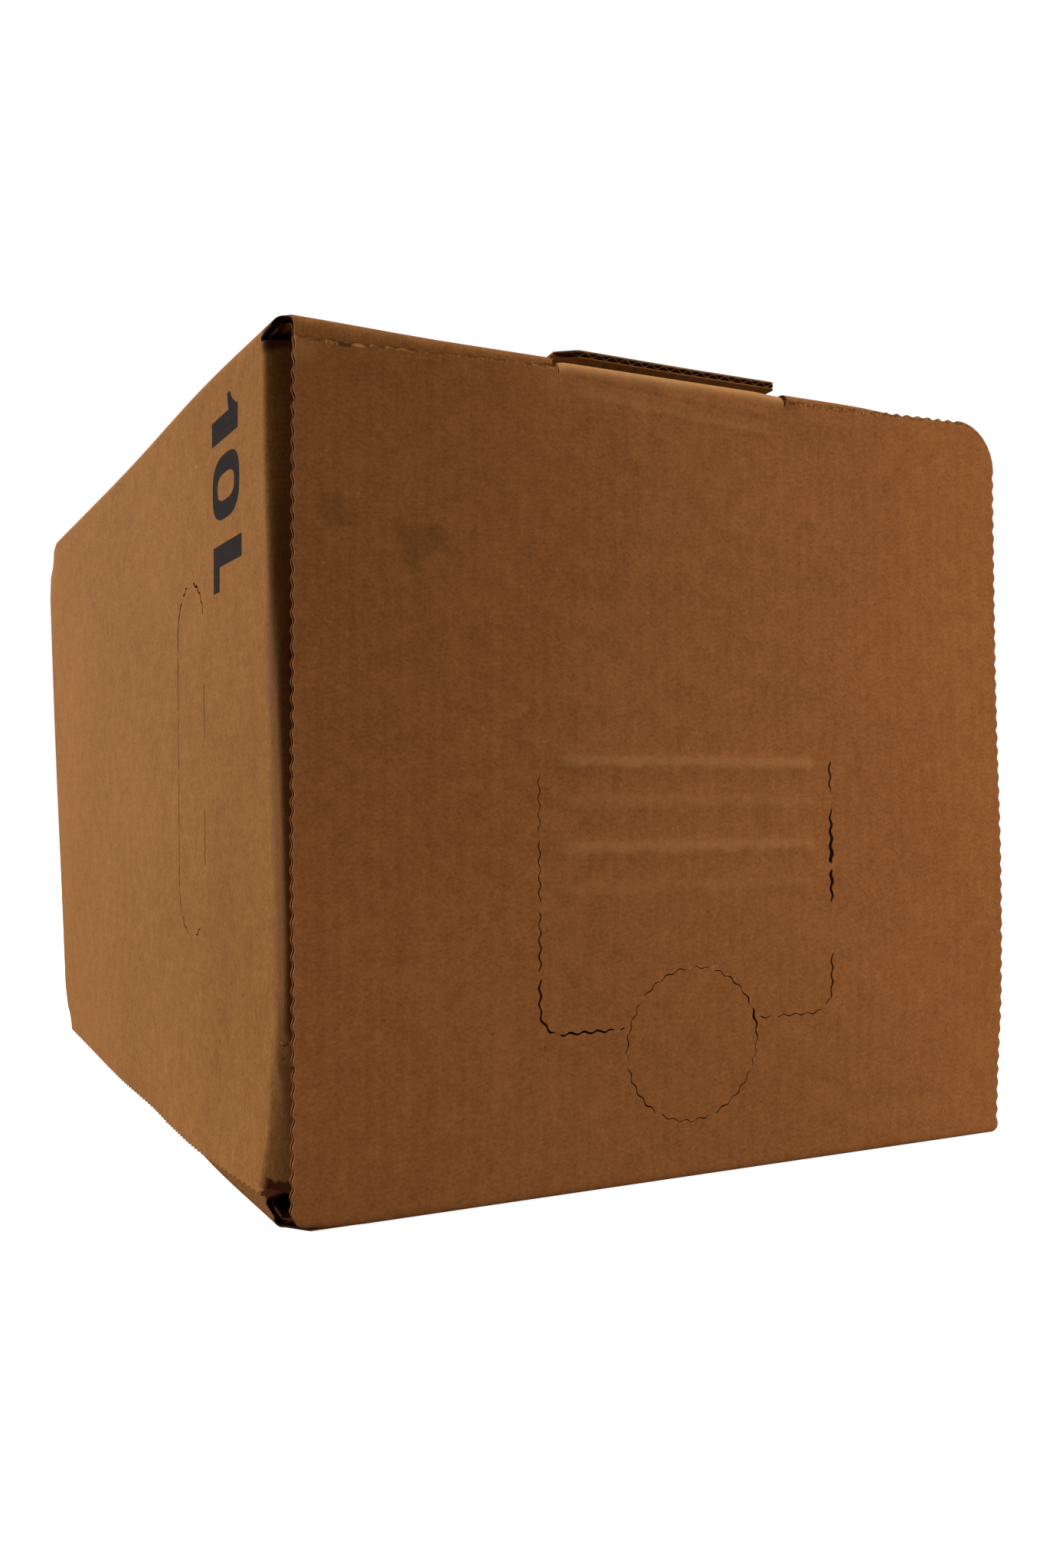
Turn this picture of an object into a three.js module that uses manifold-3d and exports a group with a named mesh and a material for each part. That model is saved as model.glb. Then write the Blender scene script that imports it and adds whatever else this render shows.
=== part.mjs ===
// An empty carton for a 10 litre bag in box, die-cut and folded from one blank of thin
// corrugated board. It stands on its bottom panel, as in a shop or on a worktop.
// The body is a four panel tube with its folded flaps. The front lid hinges on the
// bottom panel's front fold, and its tuck tab goes back under a tongue of the top panel.
// Units are millimetres. +Z is up, the lid faces -Y and the panel with the hand hole
// faces -X. The origin is at the middle of the footprint, on the surface it stands on.

import * as THREE from "three";
import { mergeVertices } from "three/addons/utils/BufferGeometryUtils.js";
import Module from "manifold-3d";

const wasm = await Module();
wasm.setup();

// Overall size of the closed carton
const CARTON_WIDTH = 204;
const CARTON_LENGTH = 292;
const CARTON_HEIGHT = 192;

// Board and folds
const BOARD = 1.8;
const LAYER_GAP = 0.3;
const FOLD_RADIUS = 2.6;
const FLAP_FOLD_RADIUS = 3;
const ARC_STEPS = 6;
const GRID = 1 / 1024;

// Wave-cut free edges
const WAVE_PITCH = 3.6;
const WAVE_DEPTH = 0.8;
const WAVE_STEPS = 4;

// Glued seam at the lower left
const GLUE_FLAP_HEIGHT = 32;
const GLUE_FLAP_END_INSET = 3;
const GLUE_FLAP_END_TAPER = 8;
const SEAM_REAR_HEIGHT = 1.2;
const SEAM_FRONT_RISE = 4.6;
const SEAM_TAPER_LENGTH = 120;

// Flaps behind the lid and at the rear
const DUST_FLAP_LENGTH = 62;
const DUST_FLAP_BOTTOM_RELIEF = 8;
const DUST_FLAP_TOP_RELIEF = 5;
const INNER_FLAP_LENGTH = 44;
const INNER_FLAP_SIDE_RELIEF = 3.5;
const REAR_FLAP_SIDE_INSET = 1.6;
const REAR_FLAP_TOP_INSET = 1.6;

// Front lid
const LID_SIDE_INSET = 2.5;
const LID_TOP_LEFT_DROP = 3.2;
const LID_TOP_RIGHT_DROP = 0.6;
const LID_CORNER_RADIUS = 14;

// Tuck tab, measured across from the middle of the lid
const TAB_WIDTH = 64.5;
const TAB_CENTRE_X = -3;
const TAB_LENGTH = 22;
const TAB_TOP_DROP = 0.2;
const TAB_END_DIP = 3;
const TAB_SHOULDER = 4;
const TAB_CORNER_RADIUS = 5;

// Tongue of the top panel that holds the tab down
const TONGUE_WIDTH = 60.5;
const TONGUE_LENGTH = 21;
const TONGUE_SETBACK = 4.5;
const TONGUE_LIFT = 4.2;
const TONGUE_BEVEL = 3.6;
const TONGUE_SLIT = 0.5;
const TAB_SLOT_CLEARANCE = 1.2;
const TAB_SLOT_DEPTH = 6;

// Tap panel in the lid: a perforated flap over a perforated disc
const CUT_WIDTH = 0.4;
const CUT_LENGTH = 15;
const NICK_LENGTH = 1.3;
const TAP_PANEL_WIDTH = 83;
const TAP_PANEL_BOTTOM = 36;
const TAP_PANEL_TOP = 99;
const TAP_PANEL_CORNER = 6;
const TAP_DISC_RADIUS = 18.5;
const TAP_DISC_HEIGHT = 31.5;
const CREASE_COUNT = 4;
const CREASE_PITCH = 10;
const CREASE_WIDTH = 1.6;
const CREASE_DEPTH = 0.3;
const CREASE_END_INSET = 5;

// Hand hole in the left panel: an unbroken perforated slot
const HAND_HOLE_LENGTH = 91;
const HAND_HOLE_WIDTH = 26;
const HAND_HOLE_FROM_FRONT = 77;
const HAND_HOLE_HEIGHT = 101.5;

// Places that follow from the sizes above
const leftX = -CARTON_WIDTH / 2;
const rightX = CARTON_WIDTH / 2;
const frontY = -CARTON_LENGTH / 2;
const rearY = CARTON_LENGTH / 2;
const layerStep = BOARD + LAYER_GAP;
const innerLayerDepth = layerStep;
const dustLayerDepth = 2 * layerStep;
const tubeEndDepth = dustLayerDepth + FLAP_FOLD_RADIUS;
const glueFlapX = leftX + layerStep;
const overlap = FLAP_FOLD_RADIUS;
const clearOfBoard = 5;

// A closed three.js geometry becomes a solid that can be joined and cut. Its points go to
// a fine grid, so that faces of two solids that should lie in one plane do so exactly.
function solidOf(geometry) {
  const bare = geometry.clone();
  bare.deleteAttribute("normal");
  bare.deleteAttribute("uv");
  const positions = bare.attributes.position.array;
  positions.forEach((value, i) => {
    positions[i] = Math.round(value / GRID) * GRID;
  });
  const merged = mergeVertices(bare, GRID / 2);
  return new wasm.Manifold(
    new wasm.Mesh({
      numProp: 3,
      vertProperties: new Float32Array(merged.attributes.position.array),
      triVerts: new Uint32Array(merged.index.array),
    }),
  );
}

// Sections are drawn in the plane across an axis: (y, z) along X, (x, z) along Y and
// (x, y) along Z.
const sectionFrames = {
  x: new THREE.Matrix4().makeBasis(
    new THREE.Vector3(0, 1, 0),
    new THREE.Vector3(0, 0, 1),
    new THREE.Vector3(1, 0, 0),
  ),
  y: new THREE.Matrix4().makeBasis(
    new THREE.Vector3(1, 0, 0),
    new THREE.Vector3(0, 0, 1),
    new THREE.Vector3(0, -1, 0),
  ),
  z: new THREE.Matrix4(),
};

// Extrudes a section from low to high along an axis.
function prism(points, axis, low, high) {
  const geometry = new THREE.ExtrudeGeometry(new THREE.Shape(points), {
    depth: high - low,
    bevelEnabled: false,
    steps: 1,
  });
  geometry.translate(0, 0, axis === "y" ? -high : low);
  geometry.applyMatrix4(sectionFrames[axis]);
  return solidOf(geometry);
}

function block(x0, x1, y0, y1, z0, z1) {
  const geometry = new THREE.BoxGeometry(x1 - x0, y1 - y0, z1 - z0);
  geometry.translate((x0 + x1) / 2, (y0 + y1) / 2, (z0 + z1) / 2);
  return solidOf(geometry);
}

const at = (u, v) => new THREE.Vector2(u, v);

// Unit normal of the stretch from one point to the next, on the inner side of the folds.
function innerNormal(from, to, side) {
  const along = to.clone().sub(from).normalize();
  return at(-along.y * side, along.x * side);
}

// Section of a folded board. The path runs along the outer face and every fold turns
// towards the inner side: side is 1 when that is on the left of the path, -1 on its right.
function foldedSection(path, radius, side) {
  const outer = [path[0].clone()];
  const inner = [path[0].clone().addScaledVector(innerNormal(path[0], path[1], side), BOARD)];
  for (let i = 1; i < path.length - 1; i++) {
    const before = path[i].clone().sub(path[i - 1]).normalize();
    const after = path[i + 1].clone().sub(path[i]).normalize();
    const turn = Math.acos(THREE.MathUtils.clamp(before.dot(after), -1, 1));
    const start = path[i].clone().addScaledVector(before, -radius * Math.tan(turn / 2));
    const centre = start.clone().addScaledVector(innerNormal(path[i - 1], path[i], side), radius);
    const spoke = start.clone().sub(centre).normalize();
    for (let k = 0; k <= ARC_STEPS; k++) {
      const ray = spoke.clone().rotateAround(at(0, 0), (side * turn * k) / ARC_STEPS);
      outer.push(centre.clone().addScaledVector(ray, radius));
      inner.push(centre.clone().addScaledVector(ray, radius - BOARD));
    }
  }
  const last = path.length - 1;
  const endNormal = innerNormal(path[last - 1], path[last], side);
  outer.push(path[last].clone());
  inner.push(path[last].clone().addScaledVector(endNormal, BOARD));
  return [...outer, ...inner.reverse()];
}

// Points of a wave-cut edge from one point to another. The waves bite into the board,
// whose inner side is given as for a fold, and the end point itself is left out.
function waveEdge(from, to, side) {
  const length = from.distanceTo(to);
  const waves = Math.max(1, Math.round(length / WAVE_PITCH));
  const inward = innerNormal(from, to, side);
  const points = [];
  for (let i = 0; i < waves * WAVE_STEPS; i++) {
    const bite = (WAVE_DEPTH / 2) * (1 - Math.cos((2 * Math.PI * i) / WAVE_STEPS));
    points.push(from.clone().lerp(to, i / (waves * WAVE_STEPS)).addScaledVector(inward, bite));
  }
  return points;
}

// Points of an arc, its start left out.
function arc(centre, radius, fromAngle, toAngle) {
  const points = [];
  for (let k = 1; k <= ARC_STEPS; k++) {
    const angle = fromAngle + ((toAngle - fromAngle) * k) / ARC_STEPS;
    points.push(at(centre.x + radius * Math.cos(angle), centre.y + radius * Math.sin(angle)));
  }
  return points;
}

// Narrow through cuts that follow a drawn path, parted by uncut nicks.
function perforation(path, axis, low, high) {
  const length = path.getLength();
  const count = Math.max(1, Math.round(length / (CUT_LENGTH + NICK_LENGTH)));
  const stride = length / count;
  const cuts = [];
  for (let i = 0; i < count; i++) {
    const from = (i * stride + NICK_LENGTH / 2) / length;
    const to = ((i + 1) * stride - NICK_LENGTH / 2) / length;
    const near = [];
    const far = [];
    for (let k = 0; k <= ARC_STEPS; k++) {
      const u = from + ((to - from) * k) / ARC_STEPS;
      const point = path.getPointAt(u);
      const along = path.getTangentAt(u);
      const across = at(-along.y, along.x).multiplyScalar(CUT_WIDTH / 2);
      near.push(point.clone().add(across));
      far.push(point.clone().sub(across));
    }
    cuts.push(prism([...near, ...far.reverse()], axis, low, high));
  }
  return cuts;
}

function join(solids) {
  return solids.reduce((whole, next) => whole.add(next));
}

function cutAll(solid, cuts) {
  return cuts.reduce((whole, next) => whole.subtract(next), solid);
}

// The four panels and the glue flap, folded into a tube. The left panel's free edge laps
// outside the glue flap that the bottom panel turns up.
function tube() {
  const path = [
    at(leftX, 0),
    at(leftX, CARTON_HEIGHT),
    at(rightX, CARTON_HEIGHT),
    at(rightX, 0),
    at(glueFlapX, 0),
    at(glueFlapX, GLUE_FLAP_HEIGHT),
  ];
  const section = foldedSection(path, FOLD_RADIUS, -1);
  return prism(section, "y", frontY + tubeEndDepth, rearY - tubeEndDepth);
}

// What is cut away under the left panel's free edge, which runs a little askew: it stands
// higher above the bottom fold at the front.
function seamCut() {
  const front = frontY + tubeEndDepth;
  const rear = rearY - tubeEndDepth;
  const bend = front + SEAM_TAPER_LENGTH;
  const low = -clearOfBoard;
  const outline = [
    at(front - clearOfBoard, low),
    at(rear + clearOfBoard, low),
    at(rear + clearOfBoard, SEAM_REAR_HEIGHT),
    ...waveEdge(at(rear, SEAM_REAR_HEIGHT), at(bend, SEAM_REAR_HEIGHT), -1),
    ...waveEdge(at(bend, SEAM_REAR_HEIGHT), at(front, SEAM_REAR_HEIGHT + SEAM_FRONT_RISE), -1),
    at(front, SEAM_REAR_HEIGHT + SEAM_FRONT_RISE),
    at(front - clearOfBoard, SEAM_REAR_HEIGHT + SEAM_FRONT_RISE),
  ];
  return prism(outline, "x", leftX - clearOfBoard, leftX + BOARD + LAYER_GAP / 2);
}

// The glue flap's ends taper so that it clears the dust flaps' folds.
function glueFlapEndCuts() {
  return [-1, 1].map((end) => {
    const tubeEnd = end * (rearY - tubeEndDepth);
    const outside = tubeEnd + end * clearOfBoard;
    const foot = tubeEnd - end * GLUE_FLAP_END_INSET;
    const top = foot - end * GLUE_FLAP_END_TAPER;
    const outline = [
      at(outside, FOLD_RADIUS),
      at(foot, FOLD_RADIUS),
      at(top, GLUE_FLAP_HEIGHT + clearOfBoard),
      at(outside, GLUE_FLAP_HEIGHT + clearOfBoard),
    ];
    const turned = end > 0 ? outline : outline.reverse();
    const inside = glueFlapX + BOARD + clearOfBoard;
    return prism(turned, "x", leftX + BOARD + LAYER_GAP / 2, inside);
  });
}

// A side panel's dust flap at one end of the tube: side and end are -1 or 1, for the left
// or right panel and for the front or rear.
function dustFlap(side, end) {
  const panelX = side * rightX;
  const faceY = end * (rearY - dustLayerDepth);
  const path = [
    at(panelX, faceY - end * (FLAP_FOLD_RADIUS + overlap)),
    at(panelX, faceY),
    at(panelX - side * DUST_FLAP_LENGTH, faceY),
  ];
  const section = foldedSection(path, FLAP_FOLD_RADIUS, side * end);
  return prism(section, "z", DUST_FLAP_BOTTOM_RELIEF, CARTON_HEIGHT - DUST_FLAP_TOP_RELIEF);
}

// The top panel's inner flap, over the dust flaps.
function innerFlap(end) {
  const faceY = end * (rearY - innerLayerDepth);
  const path = [
    at(end * (rearY - tubeEndDepth - overlap), CARTON_HEIGHT),
    at(faceY, CARTON_HEIGHT),
    at(faceY, CARTON_HEIGHT - INNER_FLAP_LENGTH),
  ];
  const section = foldedSection(path, FLAP_FOLD_RADIUS, -end);
  const halfWidth = rightX - INNER_FLAP_SIDE_RELIEF;
  return prism(section, "x", -halfWidth, halfWidth);
}

// The bottom panel's rear flap covers the whole rear and is glued down.
function rearFlap() {
  const path = [
    at(rearY - tubeEndDepth - overlap, 0),
    at(rearY, 0),
    at(rearY, CARTON_HEIGHT - REAR_FLAP_TOP_INSET),
  ];
  const section = foldedSection(path, FOLD_RADIUS, 1);
  return prism(section, "x", glueFlapX + REAR_FLAP_SIDE_INSET, rightX - REAR_FLAP_SIDE_INSET);
}

// The bottom panel runs on to the lid's fold.
function bottomFront() {
  const behindLid = frontY + BOARD + LAYER_GAP;
  const tubeEnd = frontY + tubeEndDepth + overlap;
  return block(glueFlapX + FOLD_RADIUS, rightX - FOLD_RADIUS, behindLid, tubeEnd, 0, BOARD);
}

// Room in the top panel's front fold for the lid's tab, and the slits beside the tongue.
function tabSlotCuts() {
  const halfSlot = TAB_WIDTH / 2 + TAB_SLOT_CLEARANCE;
  const slotRear = frontY + TONGUE_SETBACK + TONGUE_BEVEL;
  const above = CARTON_HEIGHT + clearOfBoard;
  const tongueRear = frontY + TONGUE_SETBACK + TONGUE_LENGTH;
  const slot = block(
    TAB_CENTRE_X - halfSlot,
    TAB_CENTRE_X + halfSlot,
    frontY,
    slotRear,
    CARTON_HEIGHT - TAB_SLOT_DEPTH,
    above,
  );
  const halfTongue = TONGUE_WIDTH / 2 + TONGUE_SLIT;
  const tongueRoom = block(
    TAB_CENTRE_X - halfTongue,
    TAB_CENTRE_X + halfTongue,
    frontY,
    tongueRear,
    CARTON_HEIGHT - BOARD - LAYER_GAP,
    above,
  );
  return [slot, tongueRoom];
}

// The tongue rises from the top panel over the tab. Its front corners are bevelled.
function tongue() {
  const rear = frontY + TONGUE_SETBACK + TONGUE_LENGTH;
  const front = frontY + TONGUE_SETBACK;
  const top = [];
  const under = [];
  for (let k = 0; k <= ARC_STEPS; k++) {
    const share = k / ARC_STEPS;
    const rise = TONGUE_LIFT * share * (2 - share);
    const y = THREE.MathUtils.lerp(rear, front, share);
    top.push(at(y, CARTON_HEIGHT + rise));
    under.push(at(y, CARTON_HEIGHT - BOARD + rise));
  }
  const root = [at(rear + overlap, CARTON_HEIGHT), at(rear + overlap, CARTON_HEIGHT - BOARD)];
  const side = [root[0], ...top, ...under.reverse(), root[1]];
  const halfTongue = TONGUE_WIDTH / 2;
  const left = TAB_CENTRE_X - halfTongue;
  const right = TAB_CENTRE_X + halfTongue;
  const plan = [
    at(left + TONGUE_BEVEL, front),
    at(right - TONGUE_BEVEL, front),
    at(right, front + TONGUE_BEVEL),
    at(right, rear + overlap),
    at(left, rear + overlap),
    at(left, front + TONGUE_BEVEL),
  ];
  const outline = prism(plan, "z", CARTON_HEIGHT - clearOfBoard, CARTON_HEIGHT + 2 * clearOfBoard);
  return prism(side, "x", left, right).intersect(outline);
}

// A slot shape with round ends, drawn as a path to perforate.
function handHolePath() {
  const radius = HAND_HOLE_WIDTH / 2;
  const y = frontY + HAND_HOLE_FROM_FRONT;
  const reach = HAND_HOLE_LENGTH / 2 - radius;
  const path = new THREE.Path();
  path.moveTo(y + radius, HAND_HOLE_HEIGHT - reach);
  path.lineTo(y + radius, HAND_HOLE_HEIGHT + reach);
  path.absarc(y, HAND_HOLE_HEIGHT + reach, radius, 0, Math.PI, false);
  path.lineTo(y - radius, HAND_HOLE_HEIGHT - reach);
  path.absarc(y, HAND_HOLE_HEIGHT - reach, radius, Math.PI, 2 * Math.PI, false);
  return path;
}

function cartonBody() {
  const flaps = [
    ...[-1, 1].flatMap((end) => [dustFlap(-1, end), dustFlap(1, end), innerFlap(end)]),
    rearFlap(),
    bottomFront(),
  ];
  const shell = cutAll(tube(), [seamCut(), ...glueFlapEndCuts()]);
  const outsideLeft = leftX - clearOfBoard;
  const betweenLayers = leftX + BOARD + LAYER_GAP / 2;
  const handHole = perforation(handHolePath(), "x", outsideLeft, betweenLayers);
  return cutAll(join([shell, ...flaps]), [...tabSlotCuts(), ...handHole]).add(tongue());
}

// Outline of the lid's panel seen from the front. Where the tab folds back, the panel
// stops at the start of the fold.
function lidOutline() {
  const left = leftX + LID_SIDE_INSET;
  const right = rightX - LID_SIDE_INSET;
  const topLeft = at(left, CARTON_HEIGHT - LID_TOP_LEFT_DROP);
  const topRight = at(right, CARTON_HEIGHT - LID_TOP_RIGHT_DROP);
  const topAt = (x) => {
    const share = (x - left) / (right - left);
    return THREE.MathUtils.lerp(topLeft.y, topRight.y, share);
  };
  const tabLeft = TAB_CENTRE_X - TAB_WIDTH / 2;
  const tabRight = TAB_CENTRE_X + TAB_WIDTH / 2;
  const foldStart = CARTON_HEIGHT - TAB_TOP_DROP - FOLD_RADIUS;
  const cornerX = right - LID_CORNER_RADIUS;
  const corner = at(cornerX, topAt(cornerX) - LID_CORNER_RADIUS);
  return [
    at(left, 0),
    at(right, 0),
    ...waveEdge(at(right, FOLD_RADIUS), at(right, corner.y), 1),
    at(right, corner.y),
    ...arc(corner, LID_CORNER_RADIUS, 0, Math.PI / 2),
    ...waveEdge(at(cornerX, topAt(cornerX)), at(tabRight, topAt(tabRight)), 1).slice(1),
    at(tabRight, topAt(tabRight)),
    at(tabRight, foldStart),
    at(tabLeft, foldStart),
    ...waveEdge(at(tabLeft, topAt(tabLeft)), topLeft, 1),
    topLeft,
    ...waveEdge(topLeft, at(left, FOLD_RADIUS), 1).slice(1),
    at(left, FOLD_RADIUS),
  ];
}

// Side section of the lid's flat panel, whose lower end is the round of the hinge fold.
function lidPanel() {
  const face = frontY + BOARD;
  const foldCentre = at(face, BOARD);
  const section = [
    at(face, CARTON_HEIGHT + clearOfBoard),
    at(frontY, CARTON_HEIGHT + clearOfBoard),
    at(frontY, BOARD),
    ...arc(foldCentre, BOARD, Math.PI, 1.5 * Math.PI),
  ];
  const panel = prism(section, "x", leftX, rightX);
  return panel.intersect(prism(lidOutline(), "y", frontY - clearOfBoard, face + clearOfBoard));
}

// The tuck tab folds back from the lid's top and dips under the top panel.
function tuckTab() {
  const foldZ = CARTON_HEIGHT - TAB_TOP_DROP;
  const path = [
    at(frontY, foldZ - FOLD_RADIUS - overlap),
    at(frontY, foldZ),
    at(frontY + TAB_LENGTH, foldZ - TAB_END_DIP),
  ];
  const section = foldedSection(path, FOLD_RADIUS, -1);
  const left = TAB_CENTRE_X - TAB_WIDTH / 2;
  const right = TAB_CENTRE_X + TAB_WIDTH / 2;
  const shoulderY = frontY + FOLD_RADIUS;
  const cornerY = frontY + TAB_LENGTH - TAB_CORNER_RADIUS;
  const inset = TAB_SHOULDER + TAB_CORNER_RADIUS;
  const plan = [
    at(left, frontY - clearOfBoard),
    at(right, frontY - clearOfBoard),
    at(right, shoulderY),
    at(right - TAB_SHOULDER, shoulderY + TAB_SHOULDER),
    at(right - TAB_SHOULDER, cornerY),
    ...arc(at(right - inset, cornerY), TAB_CORNER_RADIUS, 0, Math.PI / 2),
    at(left + inset, frontY + TAB_LENGTH),
    ...arc(at(left + inset, cornerY), TAB_CORNER_RADIUS, Math.PI / 2, Math.PI),
    at(left + TAB_SHOULDER, shoulderY + TAB_SHOULDER),
    at(left, shoulderY),
  ];
  const outline = prism(plan, "z", 0, CARTON_HEIGHT + clearOfBoard);
  return prism(section, "x", left, right).intersect(outline);
}

// The tap panel's perforation: down one side, round its lower corner and in to the disc,
// the disc itself, and the other side.
function tapPaths() {
  const half = TAP_PANEL_WIDTH / 2;
  const meet = Math.sqrt(TAP_DISC_RADIUS ** 2 - (TAP_PANEL_BOTTOM - TAP_DISC_HEIGHT) ** 2);
  const cornerZ = TAP_PANEL_BOTTOM + TAP_PANEL_CORNER;
  const leftSide = new THREE.Path();
  leftSide.moveTo(-half, TAP_PANEL_TOP);
  leftSide.lineTo(-half, cornerZ);
  leftSide.absarc(-half + TAP_PANEL_CORNER, cornerZ, TAP_PANEL_CORNER, Math.PI, 1.5 * Math.PI, false);
  leftSide.lineTo(-meet - CUT_WIDTH, TAP_PANEL_BOTTOM);
  const rightSide = new THREE.Path();
  rightSide.moveTo(meet + CUT_WIDTH, TAP_PANEL_BOTTOM);
  rightSide.lineTo(half - TAP_PANEL_CORNER, TAP_PANEL_BOTTOM);
  rightSide.absarc(half - TAP_PANEL_CORNER, cornerZ, TAP_PANEL_CORNER, -Math.PI / 2, 0, false);
  rightSide.lineTo(half, TAP_PANEL_TOP);
  const disc = new THREE.Path();
  disc.absarc(0, TAP_DISC_HEIGHT, TAP_DISC_RADIUS, 0, 2 * Math.PI, false);
  return [leftSide, disc, rightSide];
}

// Shallow creases across the tap panel, so that it can be folded up in steps.
function creaseCuts() {
  const halfLength = TAP_PANEL_WIDTH / 2 - CREASE_END_INSET;
  const cuts = [];
  for (let i = 0; i < CREASE_COUNT; i++) {
    const z = TAP_PANEL_TOP - i * CREASE_PITCH;
    const groove = [
      at(frontY - CREASE_DEPTH, z - CREASE_WIDTH),
      at(frontY + CREASE_DEPTH, z),
      at(frontY - CREASE_DEPTH, z + CREASE_WIDTH),
    ];
    cuts.push(prism(groove, "x", -halfLength, halfLength));
  }
  return cuts;
}

function frontLid() {
  const through = tapPaths().flatMap((path) =>
    perforation(path, "y", frontY - clearOfBoard, frontY + BOARD + clearOfBoard),
  );
  return cutAll(join([lidPanel(), tuckTab()]), [...through, ...creaseCuts()]);
}

// Turns a solid into a mesh with a material of its own.
function meshOf(name, solid, colour) {
  const { numProp, vertProperties, triVerts } = solid.getMesh();
  const geometry = new THREE.BufferGeometry();
  const stored = new THREE.InterleavedBuffer(vertProperties, numProp);
  geometry.setAttribute("position", new THREE.InterleavedBufferAttribute(stored, 3, 0));
  geometry.setIndex(new THREE.BufferAttribute(triVerts, 1));
  const material = new THREE.MeshStandardMaterial({ color: colour, roughness: 0.9, metalness: 0 });
  const mesh = new THREE.Mesh(geometry, material);
  mesh.name = name;
  return mesh;
}

const carton = new THREE.Group();
carton.add(meshOf("carton_body", cartonBody(), 0x9a6b40));
carton.add(meshOf("front_lid", frontLid(), 0x87552f));

export default carton;
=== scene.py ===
"""The look of an empty bag in box carton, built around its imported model.

The carton is folded here as a real one is. Each sheet of corrugated board is cut out flat, as two
paper liners with a fluted medium between them, and then folded along its creases. Flat places
are (u, v, w) in millimetres: u and v lie in the sheet and w is the depth below its outer face.
"""

import math

import bmesh
import bpy
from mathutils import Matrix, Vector, noise


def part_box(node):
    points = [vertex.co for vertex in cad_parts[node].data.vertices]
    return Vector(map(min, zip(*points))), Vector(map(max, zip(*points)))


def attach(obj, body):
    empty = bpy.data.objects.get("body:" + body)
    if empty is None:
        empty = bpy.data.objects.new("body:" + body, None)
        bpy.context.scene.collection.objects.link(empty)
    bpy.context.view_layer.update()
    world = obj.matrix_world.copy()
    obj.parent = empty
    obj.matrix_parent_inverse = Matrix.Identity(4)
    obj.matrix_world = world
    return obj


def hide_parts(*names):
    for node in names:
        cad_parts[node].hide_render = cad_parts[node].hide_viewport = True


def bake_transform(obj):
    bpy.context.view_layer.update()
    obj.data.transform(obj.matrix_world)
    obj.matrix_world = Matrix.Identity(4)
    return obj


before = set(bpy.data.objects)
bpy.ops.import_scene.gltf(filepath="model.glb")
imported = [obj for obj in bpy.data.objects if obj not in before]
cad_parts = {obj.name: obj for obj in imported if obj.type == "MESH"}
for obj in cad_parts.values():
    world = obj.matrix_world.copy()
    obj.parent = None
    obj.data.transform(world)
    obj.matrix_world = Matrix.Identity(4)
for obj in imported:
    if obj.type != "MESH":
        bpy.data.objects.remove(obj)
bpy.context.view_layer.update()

MM = 0.001

# The closed carton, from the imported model
_, body_high = (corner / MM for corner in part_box("carton_body"))
lid_low, lid_high = (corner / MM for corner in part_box("front_lid"))
TONGUE_LIFT = 4.2
HALF_WIDTH = body_high.x
HEIGHT = body_high.z - TONGUE_LIFT
FRONT = lid_low.y
REAR = body_high.y

# Board
BOARD = 1.8
LAYER_GAP = 0.3
LINER = 0.27
MEDIUM = 0.24
FLUTE_PITCH = 3.6
FLUTE_STEPS = 6
WAVE_PITCH = 3.6
WAVE_DEPTH = 0.62
WAVE_STEPS = 8

# Folds of the body
FOLD_RADIUS = 2.6
FLAP_FOLD_RADIUS = 3.0
CHAMFER_RADIUS = 2.0
CHAMFER_TOP_REACH = 9.2
CHAMFER_LOW_REACH = 11.5
CHAMFER_TIGHT_REACH = 2.3
BEND_STEPS = 7
PANEL_STEP = 9.0

# Flaps of the body
LAYER_STEP = BOARD + LAYER_GAP
GLUE_EDGE = -HALF_WIDTH + LAYER_STEP
GLUE_FLAP_HEIGHT = 32.0
TUBE_END = REAR - 2 * LAYER_STEP - FLAP_FOLD_RADIUS
BOTTOM_FRONT = FRONT + LAYER_STEP
DUST_FLAP_LENGTH = 62.0
DUST_FLAP_LOW = 7.4
DUST_FLAP_HIGH = HEIGHT - 3.0
INNER_FLAP_LENGTH = 44.0
INNER_FLAP_HALF_WIDTH = HALF_WIDTH - 3.5
SEAM_REAR_HEIGHT = 1.2
SEAM_FRONT_RISE = 5.3
SEAM_TAPER_LENGTH = 100.0

# Tongue and the slot in front of it
TAB_CENTRE = -3.0
TAB_WIDTH = 64.5
TONGUE_WIDTH = 60.5
TONGUE_RIGHT_EXTRA = 1.2
TONGUE_LENGTH = 21.0
TONGUE_FRONT = FRONT + 4.5
TONGUE_BEVEL = 3.6
TONGUE_CORNER = 1.6
TONGUE_FLEX = TONGUE_LIFT - 1.3
TONGUE_SLIT = 0.5
SLOT_CLEARANCE = 1.2
SLOT_DROP = 6.0

# Lid
LID_HALF_WIDTH = lid_high.x
LID_TOP = HEIGHT - 0.8
LID_TOP_LEFT_FALL = 2.3
LID_TOP_RIGHT_RISE = 1.5
LID_CORNER_RADIUS = 12.5
HINGE_RADIUS = 2.2
TAB_FOLD = HEIGHT - 0.2 - FOLD_RADIUS
TAB_TURN = math.radians(97.8)
TAB_FLAT_LENGTH = 24.0
TAB_SHOULDER = 4.0
TAB_CORNER_RADIUS = 5.0
TAB_NOTCH = 0.3
TAB_RISE = 1.5
TAB_LEAN = 1.3

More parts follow.
